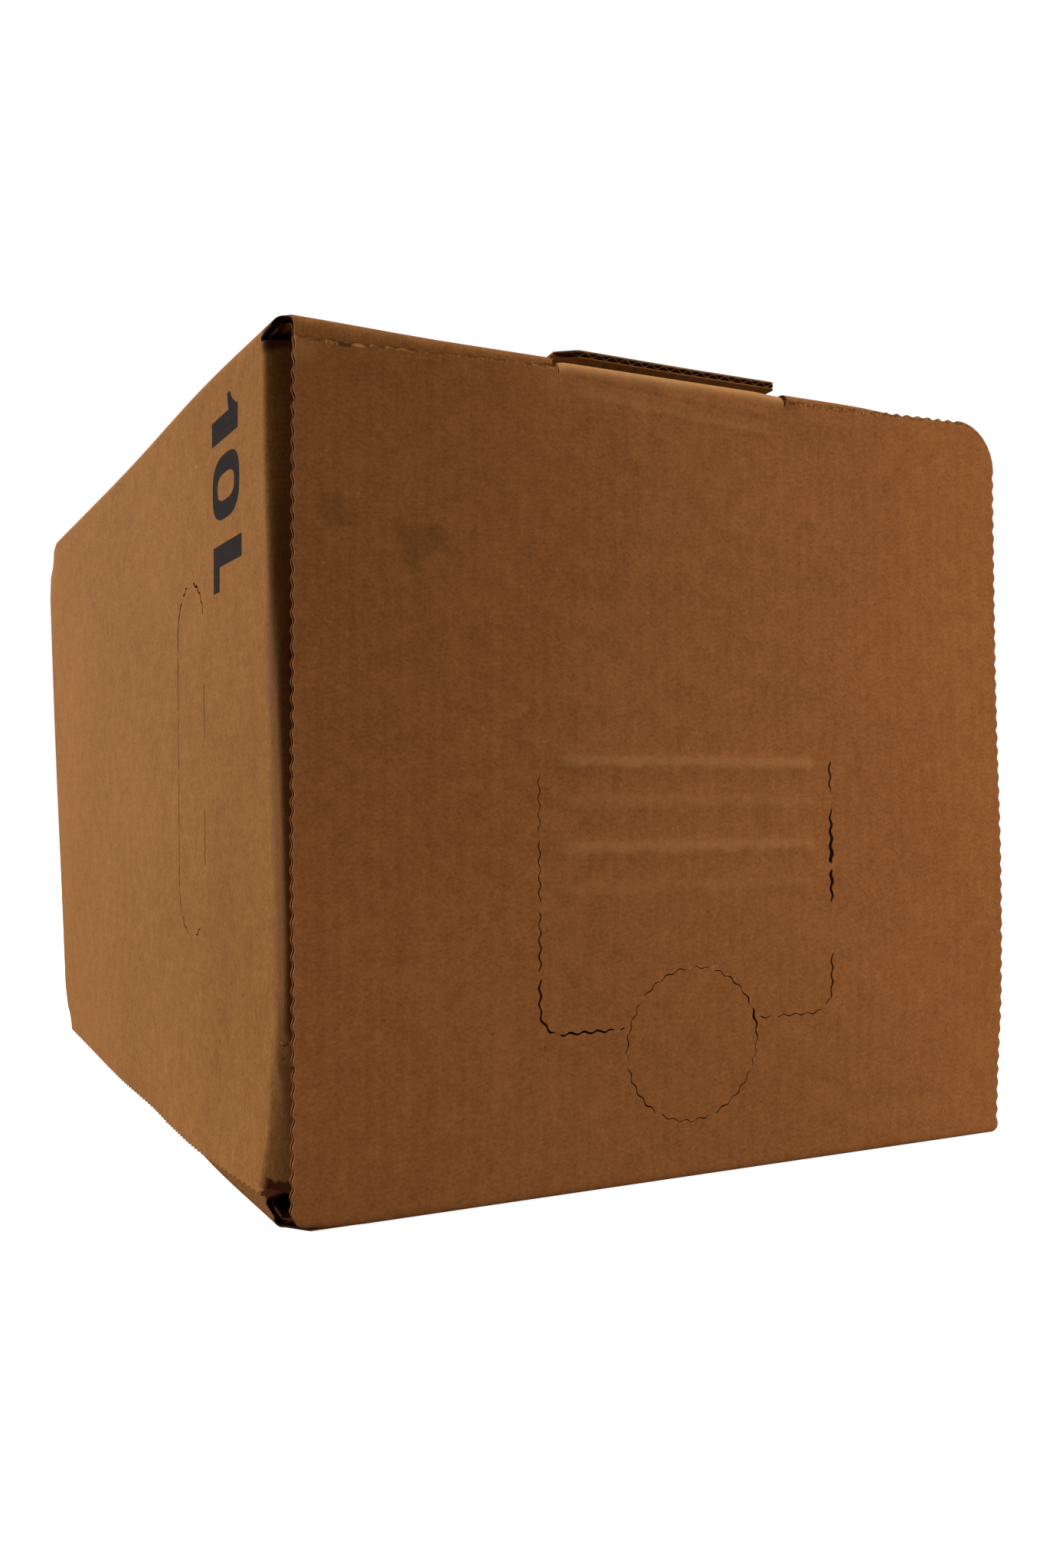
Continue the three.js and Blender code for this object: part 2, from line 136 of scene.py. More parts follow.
# Tap panel and hand hole, both unbroken perforations
TAP_HALF_WIDTH = 41.5
TAP_BOTTOM = 37.5
TAP_TOP = 98.0
TAP_CORNER = 6.0
TAP_DISC_RADIUS = 18.5
TAP_DISC_HEIGHT = 32.5
CREASES = (99.8, 90.6, 79.7, 70.3)
CREASE_HALF_LENGTH = 37.0
CREASE_SPREAD = 1.9
CREASE_RISES = (0.45, 0.2, 0.4, 0.16)
CUT_WIDTH = 0.35
CUT_WAVE = 0.28
CUT_STEP = 0.45
CUT_LENGTH = 15.0
CUTTER_MARGIN = 2.0
NICK_LENGTH = 1.0
HAND_HOLE_HALF_WIDTH = 13.0
HAND_HOLE_HALF_LENGTH = 45.5
HAND_HOLE_Y = FRONT + 77.0
HAND_HOLE_Z = 101.5

# The used carton's lean and dents
LEAN_FOOT = 0.9
LEAN_FALL = 7.0
REAR_SINK = 4.5
REAR_STRETCH = 3.0
REAR_STRETCH_WAIST = 2.6
FRONT_WAIST = 2.2
FOOT_FLARE = 2.4
FOOT_DIP = 1.9
TOP_LIFT = 2.4
TOP_LIFT_LEFT_FALL = 0.4
TOP_LIFT_RIGHT_FALL = 1.3
TOP_EDGE_HUMP = 1.9
TOP_REAR_FALL = 1.6
TOP_DISH = 1.2
FRONT_CORNER_PINCH = (6.5, 3.5)
REAR_HIGH_CRUSH = (3.0, 2.4)
REAR_LOW_CRUSH = 2.6
LID_BOW = 1.5
LID_SWELL = 0.5
LID_CORNER_RISE = 1.1
LID_LEFT_EDGE_LIFT = 0.5
LID_TILT_LEVEL = 0.42
LID_TILT_BELOW = 1.5
LID_TILT_ABOVE = 3.4
TAB_CRUSH = 0.3

# How far the dented carton may stand out past its model
SIDE_LIMIT = HALF_WIDTH * 1.06

# Where the body's flat sheet is cut more finely, because it folds there
FOLD_ZONE = (131, 156)
FOLD_ZONE_STEP = 0.9


def smoothstep(low, high, value):
    share = min(1.0, max(0.0, (value - low) / (high - low)))
    return share * share * (3 - 2 * share)


def bump_at(value, centre, spread):
    return math.exp(-(((value - centre) / spread) ** 2))


def spaced(low, high, step):
    """Cuts between low and high, no further apart than step."""
    count = max(1, math.ceil((high - low) / step))
    return [low + (high - low) * i / count for i in range(1, count)]


def bends(start, radius, turn=math.pi / 2):
    """Cuts across a fold that begins at start."""
    return [start + radius * turn * i / BEND_STEPS for i in range(BEND_STEPS + 1)]


# Flat outlines


def wave_line(start, end, inward):
    """A wave-cut edge from start towards end, whose waves bite inward. The end is left out."""
    start, end, inward = Vector(start), Vector(end), Vector(inward)
    length = (end - start).length
    waves = max(1, round(length / WAVE_PITCH))
    points = []
    for i in range(waves * WAVE_STEPS):
        spot = start.lerp(end, i / (waves * WAVE_STEPS))
        swell = 0.8 + 0.5 * noise.noise(Vector((spot.x, spot.y, 0)) * 0.35)
        bite = WAVE_DEPTH / 2 * (1 - math.cos(2 * math.pi * i / WAVE_STEPS)) * swell
        points.append(spot + inward * bite)
    return points


def arc_points(centre, radius, low, high, steps=8):
    """An arc in degrees, with both of its ends."""
    angles = [math.radians(low + (high - low) * i / steps) for i in range(steps + 1)]
    return [Vector((centre[0] + radius * math.cos(a), centre[1] + radius * math.sin(a))) for a in angles]


def resampled(points, step):
    """The same line with points a step apart."""
    result = [Vector(points[0])]
    left = step
    for a, b in zip(points, points[1:]):
        a, b = Vector(a), Vector(b)
        length = (b - a).length
        done = 0.0
        while length - done >= left:
            done += left
            result.append(a.lerp(b, done / length))
            left = step
        left -= length - done
    return result


def perforation(points, gap_at=None):
    """Outlines of the wavy cuts along a line, with an uncut nick between each two. gap_at gives
    how far the board has opened at a point."""
    line = resampled(points, CUT_STEP)
    per_cut = round(CUT_LENGTH / CUT_STEP)
    per_nick = round(NICK_LENGTH / CUT_STEP)
    outlines = []
    for first in range(0, len(line) - 2 * per_nick, per_cut + per_nick):
        stretch = range(max(first, 1), min(first + per_cut, len(line) - 1))
        near, far = [], []
        for i in stretch:
            here = line[i]
            along = (line[i + 1] - line[i - 1]).normalized()
            across = Vector((-along.y, along.x))
            wave = CUT_WAVE * math.sin(2 * math.pi * i * CUT_STEP / WAVE_PITCH)
            unevenness = noise.noise(Vector((here.x, here.y, 3)) * 0.4)
            width = CUT_WIDTH * (0.75 + 0.5 * unevenness)
            width += gap_at(here) if gap_at else 0
            ends = min(i - stretch[0], stretch[-1] - i)
            width *= min(1.0, 0.25 + 0.4 * ends)
            near.append(here + across * (wave + width / 2))
            far.append(here + across * (wave - width / 2))
        outlines.append(near + far[::-1])
    return outlines


# Flat sheets


def object_from(bm, name):
    mesh = bpy.data.meshes.new(name)
    bm.to_mesh(mesh)
    bm.free()
    made = bpy.data.objects.new(name, mesh)
    bpy.context.scene.collection.objects.link(made)
    return made


def prisms(outlines, name):
    """Upright prisms through the sheet, one for each outline."""
    bm = bmesh.new()
    for outline in outlines:
        corners = [bm.verts.new((p.x, p.y, -BOARD - CUTTER_MARGIN)) for p in map(Vector, outline)]
        face = bm.faces.new(corners)
        made = bmesh.ops.extrude_face_region(bm, geom=[face])
        raised = [v for v in made["geom"] if isinstance(v, bmesh.types.BMVert)]
        bmesh.ops.translate(bm, verts=raised, vec=(0, 0, BOARD + 2 * CUTTER_MARGIN))
    bmesh.ops.recalc_face_normals(bm, faces=bm.faces)
    return object_from(bm, name)


def cut(target, cutter, operation):
    """The target's mesh after a boolean with the cutter."""
    modifier = target.modifiers.new("cut", "BOOLEAN")
    modifier.solver = "MANIFOLD"
    modifier.operation = operation
    modifier.object = cutter
    graph = bpy.context.evaluated_depsgraph_get()
    shaped = bpy.data.meshes.new_from_object(target.evaluated_get(graph))
    target.modifiers.clear()
    target.data = shaped


def layer(name, u_range, v_range, u_cuts, v_cuts, depth, thickness, fluted=False):
    """A flat closed layer of paper, cut across where it will bend. A fluted one waves along u."""
    low = Vector((u_range[0], v_range[0], 0))
    high = Vector((u_range[1], v_range[1], 0))
    flutes = round((high.x - low.x) / FLUTE_PITCH)
    segments = flutes * FLUTE_STEPS if fluted else 1
    bm = bmesh.new()
    bmesh.ops.create_grid(bm, x_segments=segments, y_segments=1, size=0.5)
    middle = (low + high) / 2
    bmesh.ops.scale(bm, verts=bm.verts, vec=(high.x - low.x, high.y - low.y, 1))
    bmesh.ops.translate(bm, verts=bm.verts, vec=middle)
    planes = [((0, v, 0), (0, 1, 0)) for v in v_cuts if low.y < v < high.y]
    if not fluted:
        planes += [((u, 0, 0), (1, 0, 0)) for u in u_cuts if low.x < u < high.x]
    for point, normal in planes:
        everything = bm.verts[:] + bm.edges[:] + bm.faces[:]
        bmesh.ops.bisect_plane(bm, geom=everything, plane_co=point, plane_no=normal, dist=1e-4)
    if fluted:
        reach = (BOARD - 2 * LINER - MEDIUM) / 2 - 0.01
        for vert in bm.verts:
            vert.co.z = reach * math.cos(2 * math.pi * vert.co.x / FLUTE_PITCH)
    made = bmesh.ops.extrude_face_region(bm, geom=bm.faces[:])
    lowered = [v for v in made["geom"] if isinstance(v, bmesh.types.BMVert)]
    bmesh.ops.translate(bm, verts=lowered, vec=(0, 0, -thickness))
    bmesh.ops.translate(bm, verts=bm.verts, vec=(0, 0, -depth))
    bmesh.ops.recalc_face_normals(bm, faces=bm.faces)
    return object_from(bm, name)


def folded(name, layers, outline, holes, place, material):
    """Cuts the layers to an outline, cuts holes in them, folds them with place(u, v, w) and joins
    them into one piece."""
    die = prisms([outline], name + "_die")
    slots = prisms(holes, name + "_slots") if holes else None
    bm = bmesh.new()
    for sheet in layers:
        cut(sheet, die, "INTERSECT")
        if slots:
            cut(sheet, slots, "DIFFERENCE")
        bm.from_mesh(sheet.data)
        bpy.data.objects.remove(sheet)
    bpy.data.objects.remove(die)
    if slots:
        bpy.data.objects.remove(slots)
    bmesh.ops.remove_doubles(bm, verts=bm.verts, dist=1e-3)
    flat = bm.verts.layers.float_vector.new("flat")
    for vert in bm.verts:
        u, v, w = vert.co.x, vert.co.y, -vert.co.z
        vert[flat] = Vector((u, v, w)) * MM
        vert.co = Vector(place(u, v, w)) * MM
    bmesh.ops.recalc_face_normals(bm, faces=bm.faces)
    for face in bm.faces:
        face.smooth = True
    for edge in bm.edges:
        if len(edge.link_faces) == 2 and edge.calc_face_angle(0) > math.radians(35):
            edge.smooth = False
    piece = object_from(bm, name)
    piece.data.materials.append(material)
    return piece


# The body's blank: four panels and a glue flap around the girth, which u follows from the left
# panel's free lower edge, and v is the carton's Y.

QUARTER = FOLD_RADIUS * math.pi / 2
PANELS = [
    ("left", HEIGHT - FOLD_RADIUS),
    ("top", 2 * HALF_WIDTH - 2 * FOLD_RADIUS),
    ("right", HEIGHT - 2 * FOLD_RADIUS),
    ("bottom", HALF_WIDTH - GLUE_EDGE - 2 * FOLD_RADIUS),
    ("glue", GLUE_FLAP_HEIGHT - FOLD_RADIUS),
]
panel_start = {}
girth = 0.0
for panel_name, panel_length in PANELS:
    panel_start[panel_name] = girth
    girth += panel_length + QUARTER
girth -= QUARTER
GLUE_START = panel_start["glue"]


def u_of(panel, place):
    """The girth place of a height on an upright panel, or of an x on the top or bottom."""
    start = panel_start[panel]
    if panel == "left":
        return place
    if panel == "top":
        return start + place + HALF_WIDTH - FOLD_RADIUS
    if panel == "right":
        return start + HEIGHT - FOLD_RADIUS - place
    if panel == "bottom":
        return start + HALF_WIDTH - FOLD_RADIUS - place
    return start + place - FOLD_RADIUS


def panel_at(u):
    for panel, length in PANELS:
        if u <= panel_start[panel] + length + 1e-3:
            return panel if u >= panel_start[panel] - 1e-3 else None
    return "glue"


def girth_point(u, depth):
    """(x, z) of a girth place at a depth below the outer face."""
    spot = Vector((-HALF_WIDTH, 0))
    heading = Vector((0, 1))
    left = u
    for _, length in PANELS:
        inward = Vector((heading.y, -heading.x))
        if left <= length:
            return spot + heading * left + inward * depth
        spot = spot + heading * length
        left -= length
        if left <= QUARTER:
            angle = left / FOLD_RADIUS
            reach = FOLD_RADIUS - depth
            centre = spot + inward * FOLD_RADIUS
            return centre + heading * reach * math.sin(angle) - inward * reach * math.cos(angle)
        spot = spot + (heading + inward) * FOLD_RADIUS
        heading = inward
        left -= QUARTER
    return spot + heading * left + Vector((heading.y, -heading.x)) * depth


def left_chamfer(z):
    """(reach along the panel, slope angle) of the crushed front fold of the left panel, which is
    a wide chamfer at the top and the bottom, and tight between."""
    upper = smoothstep(112, 182, z)
    lower = 1 - smoothstep(22, 46, z)
    reach = CHAMFER_TIGHT_REACH
    reach += (CHAMFER_TOP_REACH - reach) * upper + (CHAMFER_LOW_REACH - reach) * lower
    return reach, math.radians(46 - 15 * lower)


def flap_shape(panel, end, u):
    """(outer face, fold radius, slope length, slope angle) of the flap at an end of a panel, or
    None. The fold is an arc that stops at the slope angle for the slope, and then goes on."""
    outer = (REAR, REAR - LAYER_STEP, REAR - 2 * LAYER_STEP)
    if panel == "left" and DUST_FLAP_LOW - 0.1 <= u <= DUST_FLAP_HIGH + 0.1:
        if end < 0:
            reach, angle = left_chamfer(u)
            face = outer[2] + 1.7 * (1 - smoothstep(110, 150, u))
            return face, CHAMFER_RADIUS, (reach - CHAMFER_RADIUS) / math.cos(angle), angle
        return outer[2], FLAP_FOLD_RADIUS, 0, 0
    if panel == "right":
        return outer[2], FLAP_FOLD_RADIUS, 0, 0
    if panel == "top":
        return outer[1], FLAP_FOLD_RADIUS, 0, 0
    if panel == "bottom" and end > 0:
        return outer[0], FOLD_RADIUS, 0, 0
    return None


def bend(beyond, w, radius, slope, angle):
    """(forward, deep) of a point whose flat distance past the fold's start is beyond."""
    reach = radius - w
    first = min(beyond, radius * angle) / radius
    forward = reach * math.sin(first)
    deep = radius - reach * math.cos(first)
    left = beyond - radius * angle
    if left <= 0:
        return forward, deep
    run = min(left, slope)
    forward += run * math.cos(angle)
    deep += run * math.sin(angle)
    left -= run
    second = angle + min(left / radius, math.pi / 2 - angle)
    forward += reach * (math.sin(second) - math.sin(angle))
    deep += reach * (math.cos(angle) - math.cos(second))
    return forward, deep + max(0.0, left - radius * (math.pi / 2 - angle))


def on_tongue(panel, u, v):
    if panel != "top":
        return False
    x = u - u_of("top", TAB_CENTRE)
    wide = -TONGUE_WIDTH / 2 - 0.05 <= x <= TONGUE_WIDTH / 2 + TONGUE_RIGHT_EXTRA + 0.05
    return wide and TONGUE_FRONT - 0.05 <= v <= 0


def racked(x, y, z):
    """The used carton's lean: towards the rear its upper left edge hangs out and sinks. The top's
    left edge is pushed up, the left panel is drawn in low at the front, and its foot flares. The
    top also sags, and its front right corner and both rear left corners are crushed."""
    share = smoothstep(FRONT + 20, REAR, y)
    leftness = (HALF_WIDTH - x) / (2 * HALF_WIDTH)
    upness = z / HEIGHT
    on_left = smoothstep(-60, -HALF_WIDTH, x)
    lean = share * (LEAN_FOOT - LEAN_FALL * upness)
    sink = REAR_SINK * share * leftness * upness
    stretch = share * leftness * (REAR_STRETCH + REAR_STRETCH_WAIST * bump_at(z, 120, 62))
    waist = FRONT_WAIST * bump_at(z, 52, 56) * bump_at(y, FRONT, 46) * on_left

    flare = FOOT_FLARE * (1 - share) - FOOT_DIP * bump_at(y, -28, 40)
    flare *= (1 - smoothstep(0, 22, z)) * on_left

    lift = TOP_LIFT
    lift -= TOP_LIFT_LEFT_FALL * smoothstep(-40, 10, x)
    lift -= TOP_LIFT_RIGHT_FALL * smoothstep(50, 82, x)
    lift += (TOP_EDGE_HUMP * bump_at(y, -80, 60) - TOP_REAR_FALL * share) * on_left
    lift *= smoothstep(HEIGHT - 8, HEIGHT - 0.5, z)

    along = math.sin(math.pi * min(1, max(0, (y - FRONT) / (REAR - FRONT))))
    dish = TOP_DISH * math.sin(math.pi * (x + HALF_WIDTH) / (2 * HALF_WIDTH)) * along
    dish *= smoothstep(HEIGHT - 30, HEIGHT, z)

    pinch = smoothstep(70, HALF_WIDTH, x) * smoothstep(140, HEIGHT, z) * (1 - smoothstep(-146, -90, y))
    x -= FRONT_CORNER_PINCH[0] * pinch
    z -= FRONT_CORNER_PINCH[1] * pinch

    at_rear = smoothstep(REAR - 22, REAR, y) * on_left
    high_corner = at_rear * smoothstep(HEIGHT - 16, HEIGHT, z)
    low_corner = at_rear * (1 - smoothstep(0, 14, z))
    x += REAR_HIGH_CRUSH[0] * high_corner + REAR_LOW_CRUSH * low_corner
    z -= REAR_HIGH_CRUSH[1] * high_corner
    x = max(x + lean + waist - flare, -SIDE_LIMIT)
    return x, y + stretch, z - sink - dish + lift


def body_place(u, v, w):
    panel = panel_at(u)
    y, depth = v, w
    end = -1 if v < 0 else 1
    if on_tongue(panel, u, v):
        share = min(1.0, max(0.0, (TONGUE_FRONT + TONGUE_LENGTH - v) / TONGUE_LENGTH))
        depth = w - TONGUE_FLEX * share * (2 - share)
    else:
        shape = flap_shape(panel, end, u)
        if shape:
            face, radius, slope, angle = shape
            start = face - radius - slope * math.cos(angle)
            if end * v > start:
                forward, depth = bend(end * v - start, w, radius, slope, angle)
                y = end * (start + forward)
    x, z = girth_point(u, depth)
    x, y, z = racked(x, y, z)
    return x, y, max(z, 0)


def flat_reach(face, radius, length):
    """Flat v of a flap's free end, for its length measured from the panel's outer face."""
    return face + length - radius * (2 - math.pi / 2)


def body_outline():
    inner_face = REAR - LAYER_STEP
    dust_face = REAR - 2 * LAYER_STEP
    dust_end = flat_reach(dust_face, FLAP_FOLD_RADIUS, DUST_FLAP_LENGTH)
    inner_end = flat_reach(inner_face, FLAP_FOLD_RADIUS, INNER_FLAP_LENGTH)
    rear_end = flat_reach(REAR, FOLD_RADIUS, HEIGHT - 1.6)
    taper_end = -TUBE_END + SEAM_TAPER_LENGTH
    front_height = SEAM_REAR_HEIGHT + SEAM_FRONT_RISE
    slit_end = -(dust_face - CHAMFER_TOP_REACH)
    bottom_left = u_of("bottom", GLUE_EDGE + FOLD_RADIUS)
    bottom_right = u_of("bottom", HALF_WIDTH - FOLD_RADIUS)

    def flap(low, high, root, tip, taper, end):
        """Out along one side of a flap, across its wave-cut tip and back along the other side."""
        near, far = (low, high) if end < 0 else (high, low)
        narrow = taper if end < 0 else -taper
        tip_near = Vector((near + narrow, end * tip))
        tip_far = Vector((far - narrow, end * tip))
        edge = wave_line(tip_near, tip_far, (0, -end))
        return [Vector((near, end * root)), *edge, tip_far, Vector((far, end * root))]

    def dust(panel, end, root):
        sides = sorted((u_of(panel, DUST_FLAP_LOW), u_of(panel, DUST_FLAP_HIGH)))
        return flap(*sides, root, dust_end, 3, end)

    def inner(end, root):
        sides = (u_of("top", -INNER_FLAP_HALF_WIDTH), u_of("top", INNER_FLAP_HALF_WIDTH))
        return flap(*sides, root, inner_end, 2, end)

    slit = 0.7
    front = [
        Vector((front_height, -TUBE_END)),
        Vector((DUST_FLAP_LOW - slit, -TUBE_END)),
        Vector((DUST_FLAP_LOW - slit, slit_end - 7)),
        Vector((DUST_FLAP_LOW, slit_end - 7)),
        *dust("left", -1, -slit_end - 1)[1:],
        Vector((DUST_FLAP_HIGH + 0.8, slit_end + 1)),
        Vector((DUST_FLAP_HIGH + 1.3, slit_end - 6)),
        Vector((u_of("top", -HALF_WIDTH + FOLD_RADIUS), slit_end - 7.4)),
        *inner(-1, TUBE_END + 2),
        Vector((u_of("right", DUST_FLAP_HIGH) - slit, -TUBE_END - 2)),
        *dust("right", -1, TUBE_END - 2),
        Vector((u_of("right", DUST_FLAP_LOW) + slit, -TUBE_END)),
        Vector((bottom_right, -TUBE_END)),
        Vector((bottom_right, BOTTOM_FRONT)),
        Vector((u_of("bottom", GLUE_EDGE + FOLD_RADIUS + 4), BOTTOM_FRONT)),
        Vector((bottom_left, -TUBE_END)),
        Vector((GLUE_START, -TUBE_END)),
        Vector((GLUE_START + 1, -TUBE_END + 6)),
        Vector((girth, -TUBE_END + 14)),
    ]
    tip_left = Vector((bottom_left - 1.5, rear_end))
    tip_right = Vector((bottom_right + 1.5, rear_end))
    rear = [
        Vector((girth, TUBE_END - 14)),
        Vector((GLUE_START + 1, TUBE_END - 6)),
        Vector((GLUE_START, TUBE_END)),
        Vector((bottom_left, TUBE_END)),
        *wave_line((bottom_left, REAR), tip_left, (-1, 0)),
        *wave_line(tip_left, tip_right, (0, -1)),
        *wave_line(tip_right, (bottom_right, REAR), (1, 0)),
        Vector((bottom_right, TUBE_END)),
        *dust("right", 1, TUBE_END - 1),
        *inner(1, TUBE_END),
        *dust("left", 1, TUBE_END - 1),
        Vector((SEAM_REAR_HEIGHT, TUBE_END)),
    ]
    seam = [
        *wave_line((SEAM_REAR_HEIGHT, TUBE_END - 1), (SEAM_REAR_HEIGHT, taper_end), (1, 0)),
        *wave_line((SEAM_REAR_HEIGHT, taper_end), (front_height, -TUBE_END), (1, 0))[:-1],
    ]
    return front + rear + seam


def tongue_slot():
    """The slot that frees the tongue, which has a bevel on its left and a round right corner."""
    left = u_of("top", TAB_CENTRE - TONGUE_WIDTH / 2)
    right = u_of("top", TAB_CENTRE + TONGUE_WIDTH / 2 + TONGUE_RIGHT_EXTRA)
    half_slot = TAB_WIDTH / 2 + SLOT_CLEARANCE
    slot_left = u_of("top", TAB_CENTRE - half_slot)
    slot_right = u_of("top", TAB_CENTRE + half_slot)
    face = FRONT + LAYER_STEP
    slot_front = face + FLAP_FOLD_RADIUS * (2 - math.pi / 2) - SLOT_DROP
    slot_rear = TONGUE_FRONT + TONGUE_BEVEL
    root = TONGUE_FRONT + TONGUE_LENGTH
    return [
        Vector((slot_left, slot_front)),
        Vector((slot_right, slot_front)),
        Vector((slot_right, slot_rear)),
        Vector((right + TONGUE_SLIT, slot_rear)),
        Vector((right + TONGUE_SLIT, root)),
        Vector((right, root)),
        *arc_points((right - TONGUE_CORNER, TONGUE_FRONT + TONGUE_CORNER), TONGUE_CORNER, 0, -90),
        *arc_points((left + TONGUE_BEVEL + 2, TONGUE_FRONT + 2), 2, -90, -135, 3),
        Vector((left, slot_rear)),
        Vector((left, root)),
        Vector((left - TONGUE_SLIT, root)),
        Vector((left - TONGUE_SLIT, slot_rear)),
        Vector((slot_left, slot_rear)),
    ]


def hand_hole_cuts():
    """The hand hole's front side has only every second cut, as if stamped less deep."""
    reach = HAND_HOLE_HALF_LENGTH - HAND_HOLE_HALF_WIDTH
    high = (HAND_HOLE_Z + reach, HAND_HOLE_Y)
    low = (HAND_HOLE_Z - reach, HAND_HOLE_Y)
    rear_side = [
        *arc_points(low, HAND_HOLE_HALF_WIDTH, 165, 90),
        *arc_points(high, HAND_HOLE_HALF_WIDTH, 90, 10),
    ]
    front_side = [
        *arc_points(high, HAND_HOLE_HALF_WIDTH, -10, -90),
        *arc_points(low, HAND_HOLE_HALF_WIDTH, -90, -165),
    ]

    def opened(point):
        """The cuts gape a little, most at the top."""
        return 0.2 + 0.2 * smoothstep(HAND_HOLE_Z, high[0], point.x)

    return perforation(rear_side, opened) + perforation(front_side, opened)[::2]


def carton_shell(material):
    u_range = (0.0, girth)
    v_low = -flat_reach(REAR, FLAP_FOLD_RADIUS, DUST_FLAP_LENGTH) - 5
    v_high = flat_reach(REAR, FOLD_RADIUS, HEIGHT) + 5
    v_range = (v_low, v_high)
    u_cuts = []
    for panel, length in PANELS:
        u_cuts += spaced(panel_start[panel], panel_start[panel] + length, PANEL_STEP)
        u_cuts += bends(panel_start[panel] + length, FOLD_RADIUS)
    u_cuts += [DUST_FLAP_LOW - 0.4, DUST_FLAP_LOW, DUST_FLAP_HIGH, DUST_FLAP_HIGH + 0.7]
    v_cuts = spaced(v_low, -150, PANEL_STEP)
    v_cuts += spaced(-FOLD_ZONE[0], FOLD_ZONE[0], PANEL_STEP)
    v_cuts += spaced(155, v_high, PANEL_STEP)
    for end in (-1, 1):
        v_cuts += [end * v for v in spaced(*FOLD_ZONE, FOLD_ZONE_STEP)]
    liners = [
        layer("outer_liner", u_range, v_range, u_cuts, v_cuts, 0, LINER),
        layer("inner_liner", u_range, v_range, u_cuts, v_cuts, BOARD - LINER, LINER),
    ]
    return folded(
        "carton_shell",
        liners,
        body_outline(),
        [tongue_slot(), *hand_hole_cuts()],
        body_place,
        material,
    )


def body_flutes(material):
    """The fluted medium, where a cut edge can show it: in the flaps, the tongue and the seam."""
    depth = BOARD / 2 - MEDIUM / 2
    far = flat_reach(REAR, FLAP_FOLD_RADIUS, DUST_FLAP_LENGTH) + 2
    fold_cuts = spaced(130, 153, 1.5)
    flaps = [
        ("left", 0, HEIGHT - FOLD_RADIUS, 128, far, -1),
        ("left", 0, HEIGHT - FOLD_RADIUS, 134, far, 1),
        ("top", -100, 100, 118, far, -1),
        ("top", -100, 100, 134, far, 1),
        ("right", 188, 4, 134, far, -1),
        ("right", 188, 4, 134, far, 1),
        ("bottom", 99.4, -97.3, 134, REAR + HEIGHT + 4, 1),
        ("bottom", 99.4, -97.3, 130, 145, -1),
    ]
    strips = []
    for i, (panel, first, last, v_near, v_far, end) in enumerate(flaps):
        u_range = (u_of(panel, first), u_of(panel, last))
        v_range = sorted((end * v_near, end * v_far))
        v_cuts = [end * v for v in fold_cuts + spaced(156, v_far, 30)]
        if end < 0:
            v_cuts += spaced(-141.5, -118, 3)
        strips.append(layer(f"flap_flutes_{i}", u_range, v_range, [], v_cuts, depth, MEDIUM, True))
    seam_cuts = spaced(-128, 134, PANEL_STEP)
    edge = 3 * FLUTE_PITCH
    for name, u_range, v_range in (
        ("seam_flutes", (0, edge), (-127.9, 133.9)),
        ("glue_flutes", (girth - edge, girth), (-130, 130)),
    ):
        strips.append(layer(name, u_range, v_range, [], seam_cuts, depth, MEDIUM, True))
    return folded(
        "carton_flutes",
        strips,
        body_outline(),
        [tongue_slot()],
        body_place,
        material,
    )


# The lid's blank: u is the carton's X, and v runs up the lid from its hinge fold.


def lid_top(x):
    """Height of the lid's upper edge, which falls to the left and rises to the right."""
    left = LID_TOP_LEFT_FALL * (1 - smoothstep(-110, -40, x))
    right = LID_TOP_RIGHT_RISE * smoothstep(30, 90, x)
    return LID_TOP - left + right


def lid_outline():
    side = LID_HALF_WIDTH
    tab_left = TAB_CENTRE - TAB_WIDTH / 2
    tab_right = TAB_CENTRE + TAB_WIDTH / 2
    corner_x = side - LID_CORNER_RADIUS
    corner = (corner_x, lid_top(corner_x) - LID_CORNER_RADIUS)
    tab_end = TAB_FOLD + TAB_FLAT_LENGTH
    shoulder = TAB_FOLD + FOLD_RADIUS * TAB_TURN
    round_centre = TAB_SHOULDER + TAB_CORNER_RADIUS
    tab_root = TAB_FOLD - 0.4
    notch_left = tab_left - TAB_NOTCH
    notch_right = tab_right + TAB_NOTCH
    return [
        Vector((-side + 6, -HINGE_RADIUS)),
        Vector((-side + 3.2, -1)),
        Vector((side - 1.5, -HINGE_RADIUS)),
        Vector((side, 2)),
        *wave_line((side, 3), (side, corner[1]), (-1, 0)),
        *arc_points(corner, LID_CORNER_RADIUS, 0, 90)[:-1],
        *wave_line((corner_x, lid_top(corner_x)), (notch_right, lid_top(tab_right)), (0, -1)),
        Vector((notch_right, tab_root)),
        Vector((tab_right, tab_root)),
        Vector((tab_right, shoulder)),
        Vector((tab_right - TAB_SHOULDER, shoulder + TAB_SHOULDER)),
        *arc_points((tab_right - round_centre, tab_end - TAB_CORNER_RADIUS), TAB_CORNER_RADIUS, 0, 90),
        *arc_points((tab_left + round_centre, tab_end - TAB_CORNER_RADIUS), TAB_CORNER_RADIUS, 90, 180),
        Vector((tab_left + TAB_SHOULDER, shoulder + TAB_SHOULDER)),
        Vector((tab_left, shoulder)),
        Vector((tab_left, tab_root)),
        Vector((notch_left, tab_root)),
        *wave_line((notch_left, lid_top(tab_left)), (-side, lid_top(-side)), (0, -1)),
        *wave_line((-side, lid_top(-side)), (-side, 4), (1, 0)),
        Vector((-side, 4)),
        Vector((-side + 1.2, 1)),
    ]


